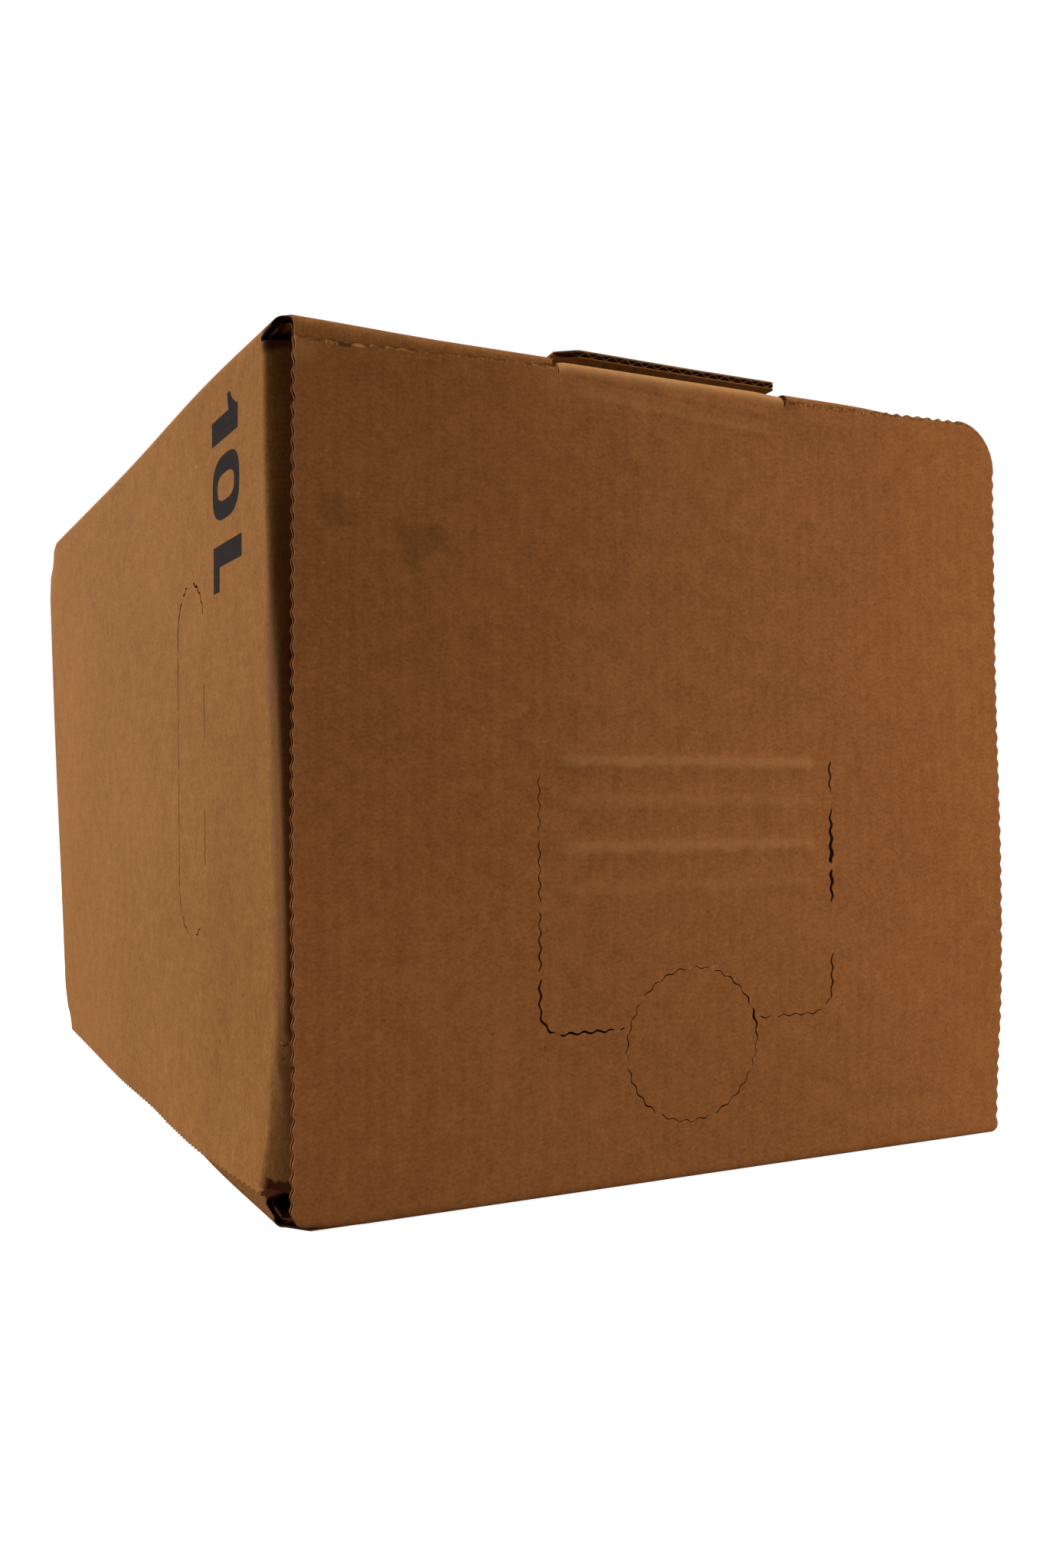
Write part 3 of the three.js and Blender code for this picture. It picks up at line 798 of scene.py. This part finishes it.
def tap_cuts():
    half = TAP_HALF_WIDTH
    meet = math.sqrt(TAP_DISC_RADIUS**2 - (TAP_BOTTOM - TAP_DISC_HEIGHT) ** 2)
    corner_z = TAP_BOTTOM + TAP_CORNER
    corner_x = half - TAP_CORNER
    left = [
        Vector((-half, TAP_TOP)),
        *arc_points((-corner_x, corner_z), TAP_CORNER, 180, 270),
        Vector((-meet - 0.8, TAP_BOTTOM)),
    ]
    right_corner = arc_points((corner_x, corner_z), TAP_CORNER, 0, -90)
    right = [
        [Vector((half, TAP_TOP + 3.5)), Vector((half, 92.3))],
        [Vector((half, 89.3)), Vector((half, 64.5))],
        [Vector((half, 53)), *right_corner, Vector((meet + 0.8, TAP_BOTTOM))],
    ]
    disc = arc_points((0, TAP_DISC_HEIGHT), TAP_DISC_RADIUS, 95, 453, 72)

    def opened(point):
        """Some cuts gape: the panel's right side, its lower left corner and a spot on the disc."""
        if point.x > half - 2:
            narrow = 0.25 * bump_at(point.y, 46, 8) + 0.3 * bump_at(point.y, 98, 5)
            return 0.95 * bump_at(point.y, 76, 11) + narrow
        if point.x < -TAP_DISC_RADIUS:
            return 0.3 * bump_at(point.y, 42, 14)
        return 0.5 * bump_at(point.x, 17.5, 2.5) * bump_at(point.y, 39, 4)

    cuts = perforation(left, opened) + perforation(disc, opened)
    for line in right:
        cuts += perforation(line, opened)
    return cuts


def lid_bow(x, z):
    """How far the lid stands out: most low down on its right, and a little in the middle."""
    rightness = (x + LID_HALF_WIDTH) / (2 * LID_HALF_WIDTH)
    return LID_BOW * rightness * bump_at(z, 58, 45) + LID_SWELL * bump_at(z, 90, 60) * bump_at(x, 0, 70)


def lid_place(u, v, w):
    x, y, z = u, FRONT + w, v
    on_tab = abs(u - TAB_CENTRE) <= TAB_WIDTH / 2 + 0.05
    beyond = v - TAB_FOLD
    if on_tab and beyond > 0:
        angle = min(beyond / FOLD_RADIUS, TAB_TURN)
        reach = FOLD_RADIUS - w
        y = FRONT + FOLD_RADIUS - reach * math.cos(angle)
        z = TAB_FOLD + reach * math.sin(angle)
        rest = max(0.0, beyond - FOLD_RADIUS * TAB_TURN)
        y += rest * math.sin(TAB_TURN)
        z += rest * math.cos(TAB_TURN)
    elif v < HINGE_RADIUS:
        angle = min((HINGE_RADIUS - v) / HINGE_RADIUS, math.pi / 2)
        reach = HINGE_RADIUS - w
        y = FRONT + HINGE_RADIUS - reach * math.cos(angle)
        z = HINGE_RADIUS - reach * math.sin(angle)
        y += max(0.0, HINGE_RADIUS - v - HINGE_RADIUS * math.pi / 2)
    fade = 1 - smoothstep(CREASE_HALF_LENGTH - 4, CREASE_HALF_LENGTH, abs(u))
    for crease, rise in zip(CREASES, CREASE_RISES):
        y -= rise * fade * bump_at(v, crease, CREASE_SPREAD)
    settle = smoothstep(3, 40, v)
    tilt = v / HEIGHT - LID_TILT_LEVEL
    rightness = (1 + u / LID_HALF_WIDTH) / 2
    x -= settle * tilt * (LID_TILT_BELOW if tilt < 0 else LID_TILT_ABOVE * rightness - 0.5)
    at_left = 1 - smoothstep(-50, -38, u)
    y -= LID_LEFT_EDGE_LIFT * smoothstep(HEIGHT - 14, HEIGHT - 4, v) * at_left
    half = TAB_WIDTH / 2
    from_centre = u - TAB_CENTRE
    by_tab = smoothstep(-half - 4, -half + 3, from_centre)
    by_tab *= 1 - smoothstep(half - 3, half + 4, from_centre)
    z += by_tab * TAB_RISE * smoothstep(TAB_FOLD - 13, TAB_FOLD, v)
    y += by_tab * TAB_LEAN * smoothstep(TAB_FOLD - 6.5, TAB_FOLD, v)
    y += by_tab * TAB_CRUSH * bump_at(v, TAB_FOLD - 6, 1.1)
    y -= settle * lid_bow(u, v)
    in_corner = 1 - smoothstep(-LID_HALF_WIDTH, -LID_HALF_WIDTH + 12, u)
    z += LID_CORNER_RISE * in_corner * (1 - smoothstep(0, 14, v))
    return x, y, z


def lid_cuts():
    v_cuts = spaced(4, TAB_FOLD - 8, PANEL_STEP) + spaced(TAB_FOLD - 8, TAB_FOLD, 1.5)
    v_cuts += bends(TAB_FOLD, FOLD_RADIUS, TAB_TURN)
    v_cuts += bends(HINGE_RADIUS * (1 - math.pi / 2), HINGE_RADIUS) + [3]
    for crease in CREASES:
        v_cuts += [crease + CREASE_SPREAD * k / 2 for k in range(-4, 5)]
    u_cuts = spaced(-LID_HALF_WIDTH, LID_HALF_WIDTH, PANEL_STEP)
    u_cuts += [side * (CREASE_HALF_LENGTH - k) for side in (-1, 1) for k in (0, 2, 4)]
    return u_cuts, v_cuts


def lid_board(material):
    u_cuts, v_cuts = lid_cuts()
    u_range = (-LID_HALF_WIDTH - 1, LID_HALF_WIDTH + 1)
    v_range = (-HINGE_RADIUS * (math.pi / 2 - 1), TAB_FOLD + TAB_FLAT_LENGTH + 2)
    liners = [
        layer("lid_face", u_range, v_range, u_cuts, v_cuts, 0, LINER),
        layer("lid_back", u_range, v_range, u_cuts, v_cuts, BOARD - LINER, LINER),
    ]
    return folded("lid_board", liners, lid_outline(), tap_cuts(), lid_place, material)


def lid_flutes(material):
    _, v_cuts = lid_cuts()
    flute_range = FLUTE_PITCH * math.ceil(LID_HALF_WIDTH / FLUTE_PITCH)
    v_range = (HINGE_RADIUS + 0.5, TAB_FOLD + TAB_FLAT_LENGTH + 2)
    sheet = layer(
        "lid_medium",
        (-flute_range, flute_range),
        v_range,
        [],
        v_cuts,
        BOARD / 2 - MEDIUM / 2,
        MEDIUM,
        True,
    )
    return folded("lid_flutes", [sheet], lid_outline(), tap_cuts(), lid_place, material)


# Materials


class Wire:
    """A shader socket that can be used in Python expressions."""

    tree = None

    def __init__(self, socket):
        self.socket = socket

    @classmethod
    def node(cls, kind, settings=None, inputs=None, output=0):
        made = cls.tree.nodes.new(kind)
        for name, value in (settings or {}).items():
            setattr(made, name, value)
        for name, value in (inputs or {}).items():
            if isinstance(value, Wire):
                cls.tree.links.new(value.socket, made.inputs[name])
            else:
                made.inputs[name].default_value = value
        return cls(made.outputs[output])

    @classmethod
    def math(cls, operation, *values):
        return cls.node("ShaderNodeMath", {"operation": operation}, dict(enumerate(values)))

    def __add__(self, other):
        return Wire.math("ADD", self, other)

    __radd__ = __add__

    def __sub__(self, other):
        return Wire.math("SUBTRACT", self, other)

    def __rsub__(self, other):
        return Wire.math("SUBTRACT", other, self)

    def __mul__(self, other):
        return Wire.math("MULTIPLY", self, other)

    __rmul__ = __mul__

    def __truediv__(self, other):
        return Wire.math("DIVIDE", self, other)

    def __pow__(self, other):
        return Wire.math("POWER", self, other)

    def __abs__(self):
        return Wire.math("ABSOLUTE", self)

    def over(self, low, high):
        """0 at low, 1 at high and smooth between, also where low is the larger."""
        inputs = {"Value": self, "From Min": low, "From Max": high}
        return Wire.node("ShaderNodeMapRange", {"interpolation_type": "SMOOTHSTEP"}, inputs)

    def least(self, other):
        return Wire.math("MINIMUM", self, other)

    def most(self, other):
        return Wire.math("MAXIMUM", self, other)

    def wave(self, pitch):
        return Wire.math("SINE", self * (2 * math.pi / pitch))

    def parts(self):
        split = Wire.tree.nodes.new("ShaderNodeSeparateXYZ")
        Wire.tree.links.new(self.socket, split.inputs[0])
        return [Wire(split.outputs[i]) for i in range(3)]


def grain(vector, size, detail=3.0, stretch=1.0, turn=0.0, roughness=0.55):
    """Noise about 0.5, with features size millimetres wide and stretch times as long, that lie
    at a turn in degrees from u."""
    turned = {"Vector": vector, "Rotation": (0, 0, -math.radians(turn))}
    laid = Wire.node("ShaderNodeMapping", {}, turned)
    scaled = {"Vector": laid, "Scale": (1 / (size * stretch), 1 / size, 1 / size)}
    placed = Wire.node("ShaderNodeMapping", {}, scaled)
    inputs = {
        "Vector": placed,
        "Scale": 1.0,
        "Detail": detail,
        "Roughness": roughness,
        "Distortion": 0.4,
    }
    return Wire.node("ShaderNodeTexNoise", {}, inputs)


def tint(factor, first, second):
    """A colour between two colours."""
    inputs = {0: factor, 6: first, 7: second}
    return Wire.node("ShaderNodeMix", {"data_type": "RGBA"}, inputs, 2)


def colour(red, green, blue):
    """A colour from its 0 to 255 display values."""
    linear = [((c / 255 + 0.055) / 1.055) ** 2.4 for c in (red, green, blue)]
    return (*linear, 1.0)


FLECK = colour(74, 44, 22)
PALE_FLECK = colour(196, 150, 100)
RAW_EDGE = colour(205, 158, 108)
# The core colour is painted shade for the flutes inside the board.
CORE_SHADE = colour(84, 50, 24)
# The pale worn colour is also used as painted highlight on the lid's creases and tab fold.
WORN_AND_HIGHLIGHT = colour(205, 152, 96)
INK = colour(24, 19, 18)
# The soil colours also serve as painted shade in folds, holes and gaps.
BODY_SOIL_AND_SHADE = colour(62, 26, 5)
LID_SOIL_AND_SHADE = colour(66, 42, 16)
BODY_KRAFT = colour(182, 124, 66), colour(116, 72, 30)
OTHER_PANELS_KRAFT = colour(180, 119, 65), colour(118, 72, 32)
LID_KRAFT = colour(178, 113, 63), colour(122, 72, 34)

# The capacity mark's start on the left panel, and the middle and shape of its zero
MARK_START = (187.6, -90.5)
ZERO_CENTRE = (21.7, 11.8)
ZERO_SQUARENESS = 2.8


def blot(x, z, centre, size, edge, warp):
    """A stain's mask: 1 inside and 0 outside, with an uneven edge."""
    across = (x - centre[0]) / size[0]
    up = (z - centre[1]) / size[1]
    away = Wire.math("SQRT", across * across + up * up) + warp
    return away.over(1 + edge, 1 - edge)


def box_mask(a, b, low, high, soft=0.12):
    """1 inside a rectangle whose corners are low and high, and 0 outside."""
    inside_a = (a - low[0]).least(high[0] - a)
    inside_b = (b - low[1]).least(high[1] - b)
    return inside_a.least(inside_b).over(-soft, soft)


def capacity_mark(u, v):
    """A plain 10 and L, read down the left panel, in bold strokes."""
    along = MARK_START[0] - u
    up = MARK_START[1] - v

    def squarish(half_width, half_height):
        """Below 1 inside the zero's outline of this size, and above 1 outside."""
        across = abs(along - ZERO_CENTRE[0]) / half_width
        rise = abs(up - ZERO_CENTRE[1]) / half_height
        return across**ZERO_SQUARENESS + rise**ZERO_SQUARENESS

    stem = box_mask(along, up, (5.0, -0.5), (10.3, 22.2))
    slope = up - along * 0.4
    curl = 15.4 + ((along / 5.3) ** 3) * 7 - up
    flag = box_mask(along, up, (2.0, 12), (5.4, 22.2))
    flag = flag * slope.over(12.0, 12.3) * curl.over(-0.2, 0.2)
    zero = squarish(7.7, 11.7).over(1.03, 0.97)
    zero = zero * (1 - squarish(3.2, 7.2).over(1.05, 0.95))
    upright = box_mask(along, up, (35.1, 0.9), (40.4, 25.3))
    foot = box_mask(along, up, (35.1, 0.9), (46.3, 6.4))
    return stem.most(flag).most(zero).most(upright).most(foot)


def kraft(name, light, dark, soil_and_shade_colour, marks, beyond=None):
    """Brown kraft liner over flutes that run along v. marks(u, v, warp, speckle) gives the masks
    of print, of soiling with painted shade and of wear with painted highlights. beyond is the paler and
    darker colour past the left panel."""
    material = bpy.data.materials.new(name)
    material.use_nodes = True
    Wire.tree = material.node_tree
    shader = Wire.tree.nodes["Principled BSDF"]
    attribute = Wire.node("ShaderNodeAttribute", {"attribute_name": "flat"}, {}, 1)
    flat = Wire.node("ShaderNodeVectorMath", {"operation": "SCALE"}, {0: attribute, "Scale": 1000.0})
    u, v, w = flat.parts()

    cloud = grain(flat, 60)
    mottle = grain(flat, 6, detail=5, roughness=0.65)
    speckle = grain(flat, 0.9)
    fibres = grain(flat, 0.5, detail=2, stretch=6, turn=12) * 0.7
    fibres = fibres + grain(flat, 0.5, detail=2, stretch=5, turn=-32) * 0.6
    fibres = fibres + grain(flat, 0.55, detail=2, stretch=5, turn=74) * 0.4
    flecks = grain(flat, 1.3, detail=2, stretch=1.6, turn=20).over(0.72, 0.80)
    pale_flecks = grain(flat, 1.9, detail=2, stretch=2.2, turn=70).over(0.73, 0.82)
    washboard = u.wave(FLUTE_PITCH)

    shade = cloud * 0.2 + mottle * 0.38 + speckle * 0.5 + fibres * 0.4 - 0.45
    if beyond:
        past = u.over(188, 192)
        light, dark = tint(past, light, beyond[0]), tint(past, dark, beyond[1])
    base = tint(shade.over(0.02, 0.92), dark, light)
    base = tint(flecks * 0.55, base, FLECK)
    base = tint(pale_flecks * 0.4, base, PALE_FLECK)
    base = tint((washboard * 0.5 + 0.5) * 0.04, base, dark)
    roughness = 0.86 + mottle * 0.12
    raw_edge = w.over(0.02, 0.1) * w.over(0.4, 0.3)
    # The fluted core between the liners is painted darker: painted shade in the flutes.
    core_shade = w.over(0.3, 0.45) * w.over(1.6, 1.5)
    base = tint(raw_edge * 0.4, base, RAW_EDGE)
    base = tint(core_shade * 0.6, base, CORE_SHADE)
    # The soil mask also paints shade, and the wear mask also paints highlights.
    print_mask, soil_and_shade_mask, wear_and_highlight_mask = marks(u, v, mottle, speckle)
    base = tint(soil_and_shade_mask, base, soil_and_shade_colour)
    base = tint(wear_and_highlight_mask, base, WORN_AND_HIGHLIGHT)
    base = tint(print_mask * (1.0 - speckle * 0.03), base, INK)
    Wire.tree.links.new(base.socket, shader.inputs["Base Color"])
    Wire.tree.links.new(roughness.socket, shader.inputs["Roughness"])
    relief = washboard * 0.02 + fibres * 0.05 + speckle * 0.05 + mottle * 0.12
    bump_inputs = {"Height": relief, "Strength": 0.55, "Distance": 0.001}
    bump = Wire.node("ShaderNodeBump", {}, bump_inputs)
    Wire.tree.links.new(bump.socket, shader.inputs["Normal"])
    shader.inputs["Specular IOR Level"].default_value = 0.04
    return material


def bump_mask(value, centre, spread):
    """1 at the centre and 0 from spread away."""
    return abs(value - centre).over(spread, 0)


def body_marks(u, v, warp, speckle):
    """Masks of the body's print, its dark painted shade with a little soiling, and its pale wear."""
    on_panel = u.over(189, 188)
    scuff = blot(v, u, (-96, 62), (9, 26), 0.5, (warp - 0.5) * 2.2)
    from_rear_cut = v - HAND_HOLE_Y - HAND_HOLE_HALF_WIDTH - 0.2
    torn = abs(from_rear_cut).over(0.5, 0.15) * speckle.over(0.5, 0.7)
    torn = torn * box_mask(u, v, (HAND_HOLE_Z - 44, -80), (HAND_HOLE_Z + 33, -50))
    # Painted shade: the left panel's chamfered front fold is darkened, with faint ribs.
    ribs = ((u + warp).wave(1.3) * 0.5 + 0.5) * u.over(145, 175)
    painted_chamfer_shade = v.over(-132.5, -140) * (0.5 + ribs * 0.1 + bump_mask(u, 142, 45) * 0.28)
    # Painted shade at the chamfer's foot, beside the hole at the lower front corner.
    ragged = u + (warp - 0.5) * 5
    crushed = v.over(-133.5, -135) * ragged.over(10.2, 9.4)
    # Painted shadow on the front folds past the left panel, behind the lid's edge.
    shadow_behind_lid = v.over(-138.5, -141.5) * 0.25
    # Painted shade in the hole at the top's front left corner.
    corner = v.over(-131, -134) * u.over(186, 188) * u.over(195, 193.5)
    glued = u.over(GLUE_START - 6, GLUE_START) * 0.3
    soil_and_shade = (painted_chamfer_shade.most(crushed) * on_panel).most(shadow_behind_lid * (1 - on_panel)).most(corner * 0.9)
    soil_and_shade = soil_and_shade.most(scuff * 0.05).most(glued)
    return capacity_mark(u, v) * on_panel, soil_and_shade, torn * 0.4


def lid_marks(u, v, warp, speckle):
    """Masks of the lid's print, of which there is none, its dark soiling with painted shade, and its
    pale wear with painted highlights.
    """
    half_tab = TAB_WIDTH / 2
    uneven = (warp - 0.5) * 2.4
    large = blot(u, v, (-69, 149.5), (5.5, 3.6), 0.7, uneven)
    drip = blot(u, v, (-72.5, 145.5), (2.2, 4.5), 0.7, uneven)
    small = blot(u, v, (-90, 153), (3.4, 3.2), 0.7, uneven)
    stain = large.most(drip).most(small)
    nothing = u * 0
    # Painted highlight along the raised creases.
    crease_highlight = nothing
    for crease, rise in zip(CREASES, CREASE_RISES):
        crease_highlight = crease_highlight.most(abs(v - crease - 0.5 + (warp - 0.5) * 3).over(2.3, 0.2) * rise)
    crease_highlight = crease_highlight * abs(u).over(CREASE_HALF_LENGTH + 1, CREASE_HALF_LENGTH - 3)
    side = abs(abs(u) - TAP_HALF_WIDTH).most(abs(v - 70) - 28)
    foot = abs(v - TAP_BOTTOM).most(abs(abs(u) - 27.5) - 8)
    disc_distance = Wire.math("SQRT", u * u + (v - TAP_DISC_HEIGHT) ** 2)
    disc = abs(disc_distance - TAP_DISC_RADIUS)
    torn = side.least(foot).least(disc).over(0.55, 0.15) * speckle.over(0.56, 0.7)
    by_tab = abs(u - TAB_CENTRE)
    # Painted highlight on the tab's fold.
    painted_tab_fold_highlight = v.over(188, 190.5) * by_tab.over(half_tab + 0.2, half_tab)
    # Painted shadow and highlight where the lid leans back below the tab's fold.
    tab_crease_zone = by_tab.over(31, 24)
    under_tab = v - TAB_FOLD + 2.8 + u * 0.055 + (warp - 0.5) * 1.5
    painted_crease_shadow = bump_mask(under_tab, 0, 1.3).most(bump_mask(under_tab, -4.6, 1.6) * 0.5) * tab_crease_zone
    painted_crease_highlight = bump_mask(under_tab, -3.2, 1.6) * tab_crease_zone
    top = LID_TOP - u.over(-40, -110) * LID_TOP_LEFT_FALL + u.over(30, 90) * LID_TOP_RIGHT_RISE
    rim = (v - top).over(-1.5, -0.5) * by_tab.over(half_tab, half_tab + 1)
    frayed = rim * speckle.over(0.53, 0.62)
    # Painted shadow: dark dashes along the lid's top edge.
    painted_edge_shadow = rim * speckle.over(0.53, 0.44)
    # Painted shade of a small dent on the top edge.
    painted_dent_shade = blot(u, v, (-88.2, 188.7), (1.7, 0.6), 0.4, uneven * 0.3)
    tear = blot(u, v, (-84.9, 188.9), (1.4, 0.4), 0.4, uneven * 0.3)
    ear = blot(u, v, (-98.8, 186.6), (4.5, 3.0), 0.5, uneven * 0.6)
    # The lid is darker towards its top left.
    darker_top_left = blot(u, v, (-95, 180), (75, 85), 0.7, uneven * 0.3)
    soil_and_shade = (stain * 0.22 + darker_top_left * 0.22).most(painted_crease_shadow * 0.24).most(painted_edge_shadow * 0.5).most(painted_dent_shade * 0.8)
    wear_and_highlight = (crease_highlight * 0.34).most(torn * 0.4).most(painted_tab_fold_highlight * 0.4).most(painted_crease_highlight * 0.1)
    return nothing, soil_and_shade, wear_and_highlight.most(frayed * 0.4).most(tear * 0.55).most(ear * 0.14)


# Stage, camera and light

FLOOR_HALF_SIZE = 6
FLOOR_GLOW = 0.88
WORLD_STRENGTH = 0.06
WHITE = (1, 1, 1, 1)

# The photograph's camera, fitted to the carton's edges. The first two lengths are in pixels.
PHOTO_HEIGHT = 2048
FOCAL_LENGTH = 1833
SENSOR_HEIGHT = 36.0
CAMERA_PLACE = (-0.1879, -0.4306, 0.0942)
CAMERA_PITCH = 90.15
CAMERA_TURN = -26.55


def stage():
    bm = bmesh.new()
    bmesh.ops.create_grid(bm, x_segments=1, y_segments=1, size=FLOOR_HALF_SIZE)
    floor = object_from(bm, "floor")
    material = bpy.data.materials.new("pale_floor")
    material.use_nodes = True
    Wire.tree = material.node_tree
    shader = Wire.tree.nodes["Principled BSDF"]
    shader.inputs["Roughness"].default_value = 0.9
    shader.inputs["Emission Strength"].default_value = FLOOR_GLOW
    seen = Wire.node("ShaderNodeLightPath", {}, {}, "Is Camera Ray")
    Wire.tree.links.new(seen.socket, shader.inputs["Emission Color"])
    Wire.tree.links.new((seen * 0.5 + 0.1).socket, shader.inputs["Base Color"])
    floor.data.materials.append(material)

    world = bpy.data.worlds.new("studio")
    bpy.context.scene.world = world
    world.use_nodes = True
    Wire.tree = world.node_tree
    background = Wire.tree.nodes["Background"]
    paths = Wire.tree.nodes.new("ShaderNodeLightPath")
    rays = [Wire(paths.outputs[n]) for n in ("Is Camera Ray", "Is Glossy Ray", "Is Transmission Ray")]
    shown = rays[0].most(rays[1]).most(rays[2])
    plain = Wire.node("ShaderNodeBackground", {}, {"Color": WHITE, "Strength": 1.0})
    background.inputs["Color"].default_value = WHITE
    background.inputs["Strength"].default_value = WORLD_STRENGTH
    mixed = Wire.node("ShaderNodeMixShader", {}, {0: shown, 1: Wire(background.outputs[0]), 2: plain})
    Wire.tree.links.new(mixed.socket, Wire.tree.nodes["World Output"].inputs["Surface"])


def lamp(name, place, target, size, power):
    data = bpy.data.lights.new(name, "AREA")
    data.shape = "SQUARE"
    data.size = size
    data.energy = power
    made = bpy.data.objects.new(name, data)
    made.location = place
    aim = Vector(target) - Vector(place)
    made.rotation_euler = aim.to_track_quat("-Z", "Y").to_euler()
    bpy.context.scene.collection.objects.link(made)


def camera():
    """The photograph's camera: level, and low before the front left corner."""
    data = bpy.data.cameras.new("camera")
    data.sensor_fit = "VERTICAL"
    data.sensor_height = SENSOR_HEIGHT
    data.lens = SENSOR_HEIGHT * FOCAL_LENGTH / PHOTO_HEIGHT
    data.clip_start = 0.01
    made = bpy.data.objects.new("camera", data)
    made.location = CAMERA_PLACE
    made.rotation_euler = (math.radians(CAMERA_PITCH), 0, math.radians(CAMERA_TURN))
    bpy.context.scene.collection.objects.link(made)
    bpy.context.scene.camera = made


bpy.context.scene.view_settings.view_transform = "Standard"
camera()
stage()
middle = (0, 0, 0.1)
lamp("window_left", (-1.5, 1.5, 0.5), middle, size=0.9, power=56)
lamp("overhead", (0.0, 0.0, 1.5), middle, size=0.9, power=24)
lamp("front_right", (0.6, -0.58, 0.11), middle, size=0.2, power=4.7)

body_kraft = kraft("kraft_body", *BODY_KRAFT, BODY_SOIL_AND_SHADE, body_marks, OTHER_PANELS_KRAFT)
lid_kraft = kraft("kraft_lid", *LID_KRAFT, LID_SOIL_AND_SHADE, lid_marks)

for piece in (carton_shell(body_kraft), body_flutes(body_kraft)):
    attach(piece, "carton")
    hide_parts("carton_body")

for piece in (lid_board(lid_kraft), lid_flutes(lid_kraft)):
    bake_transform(piece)
    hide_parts("front_lid")
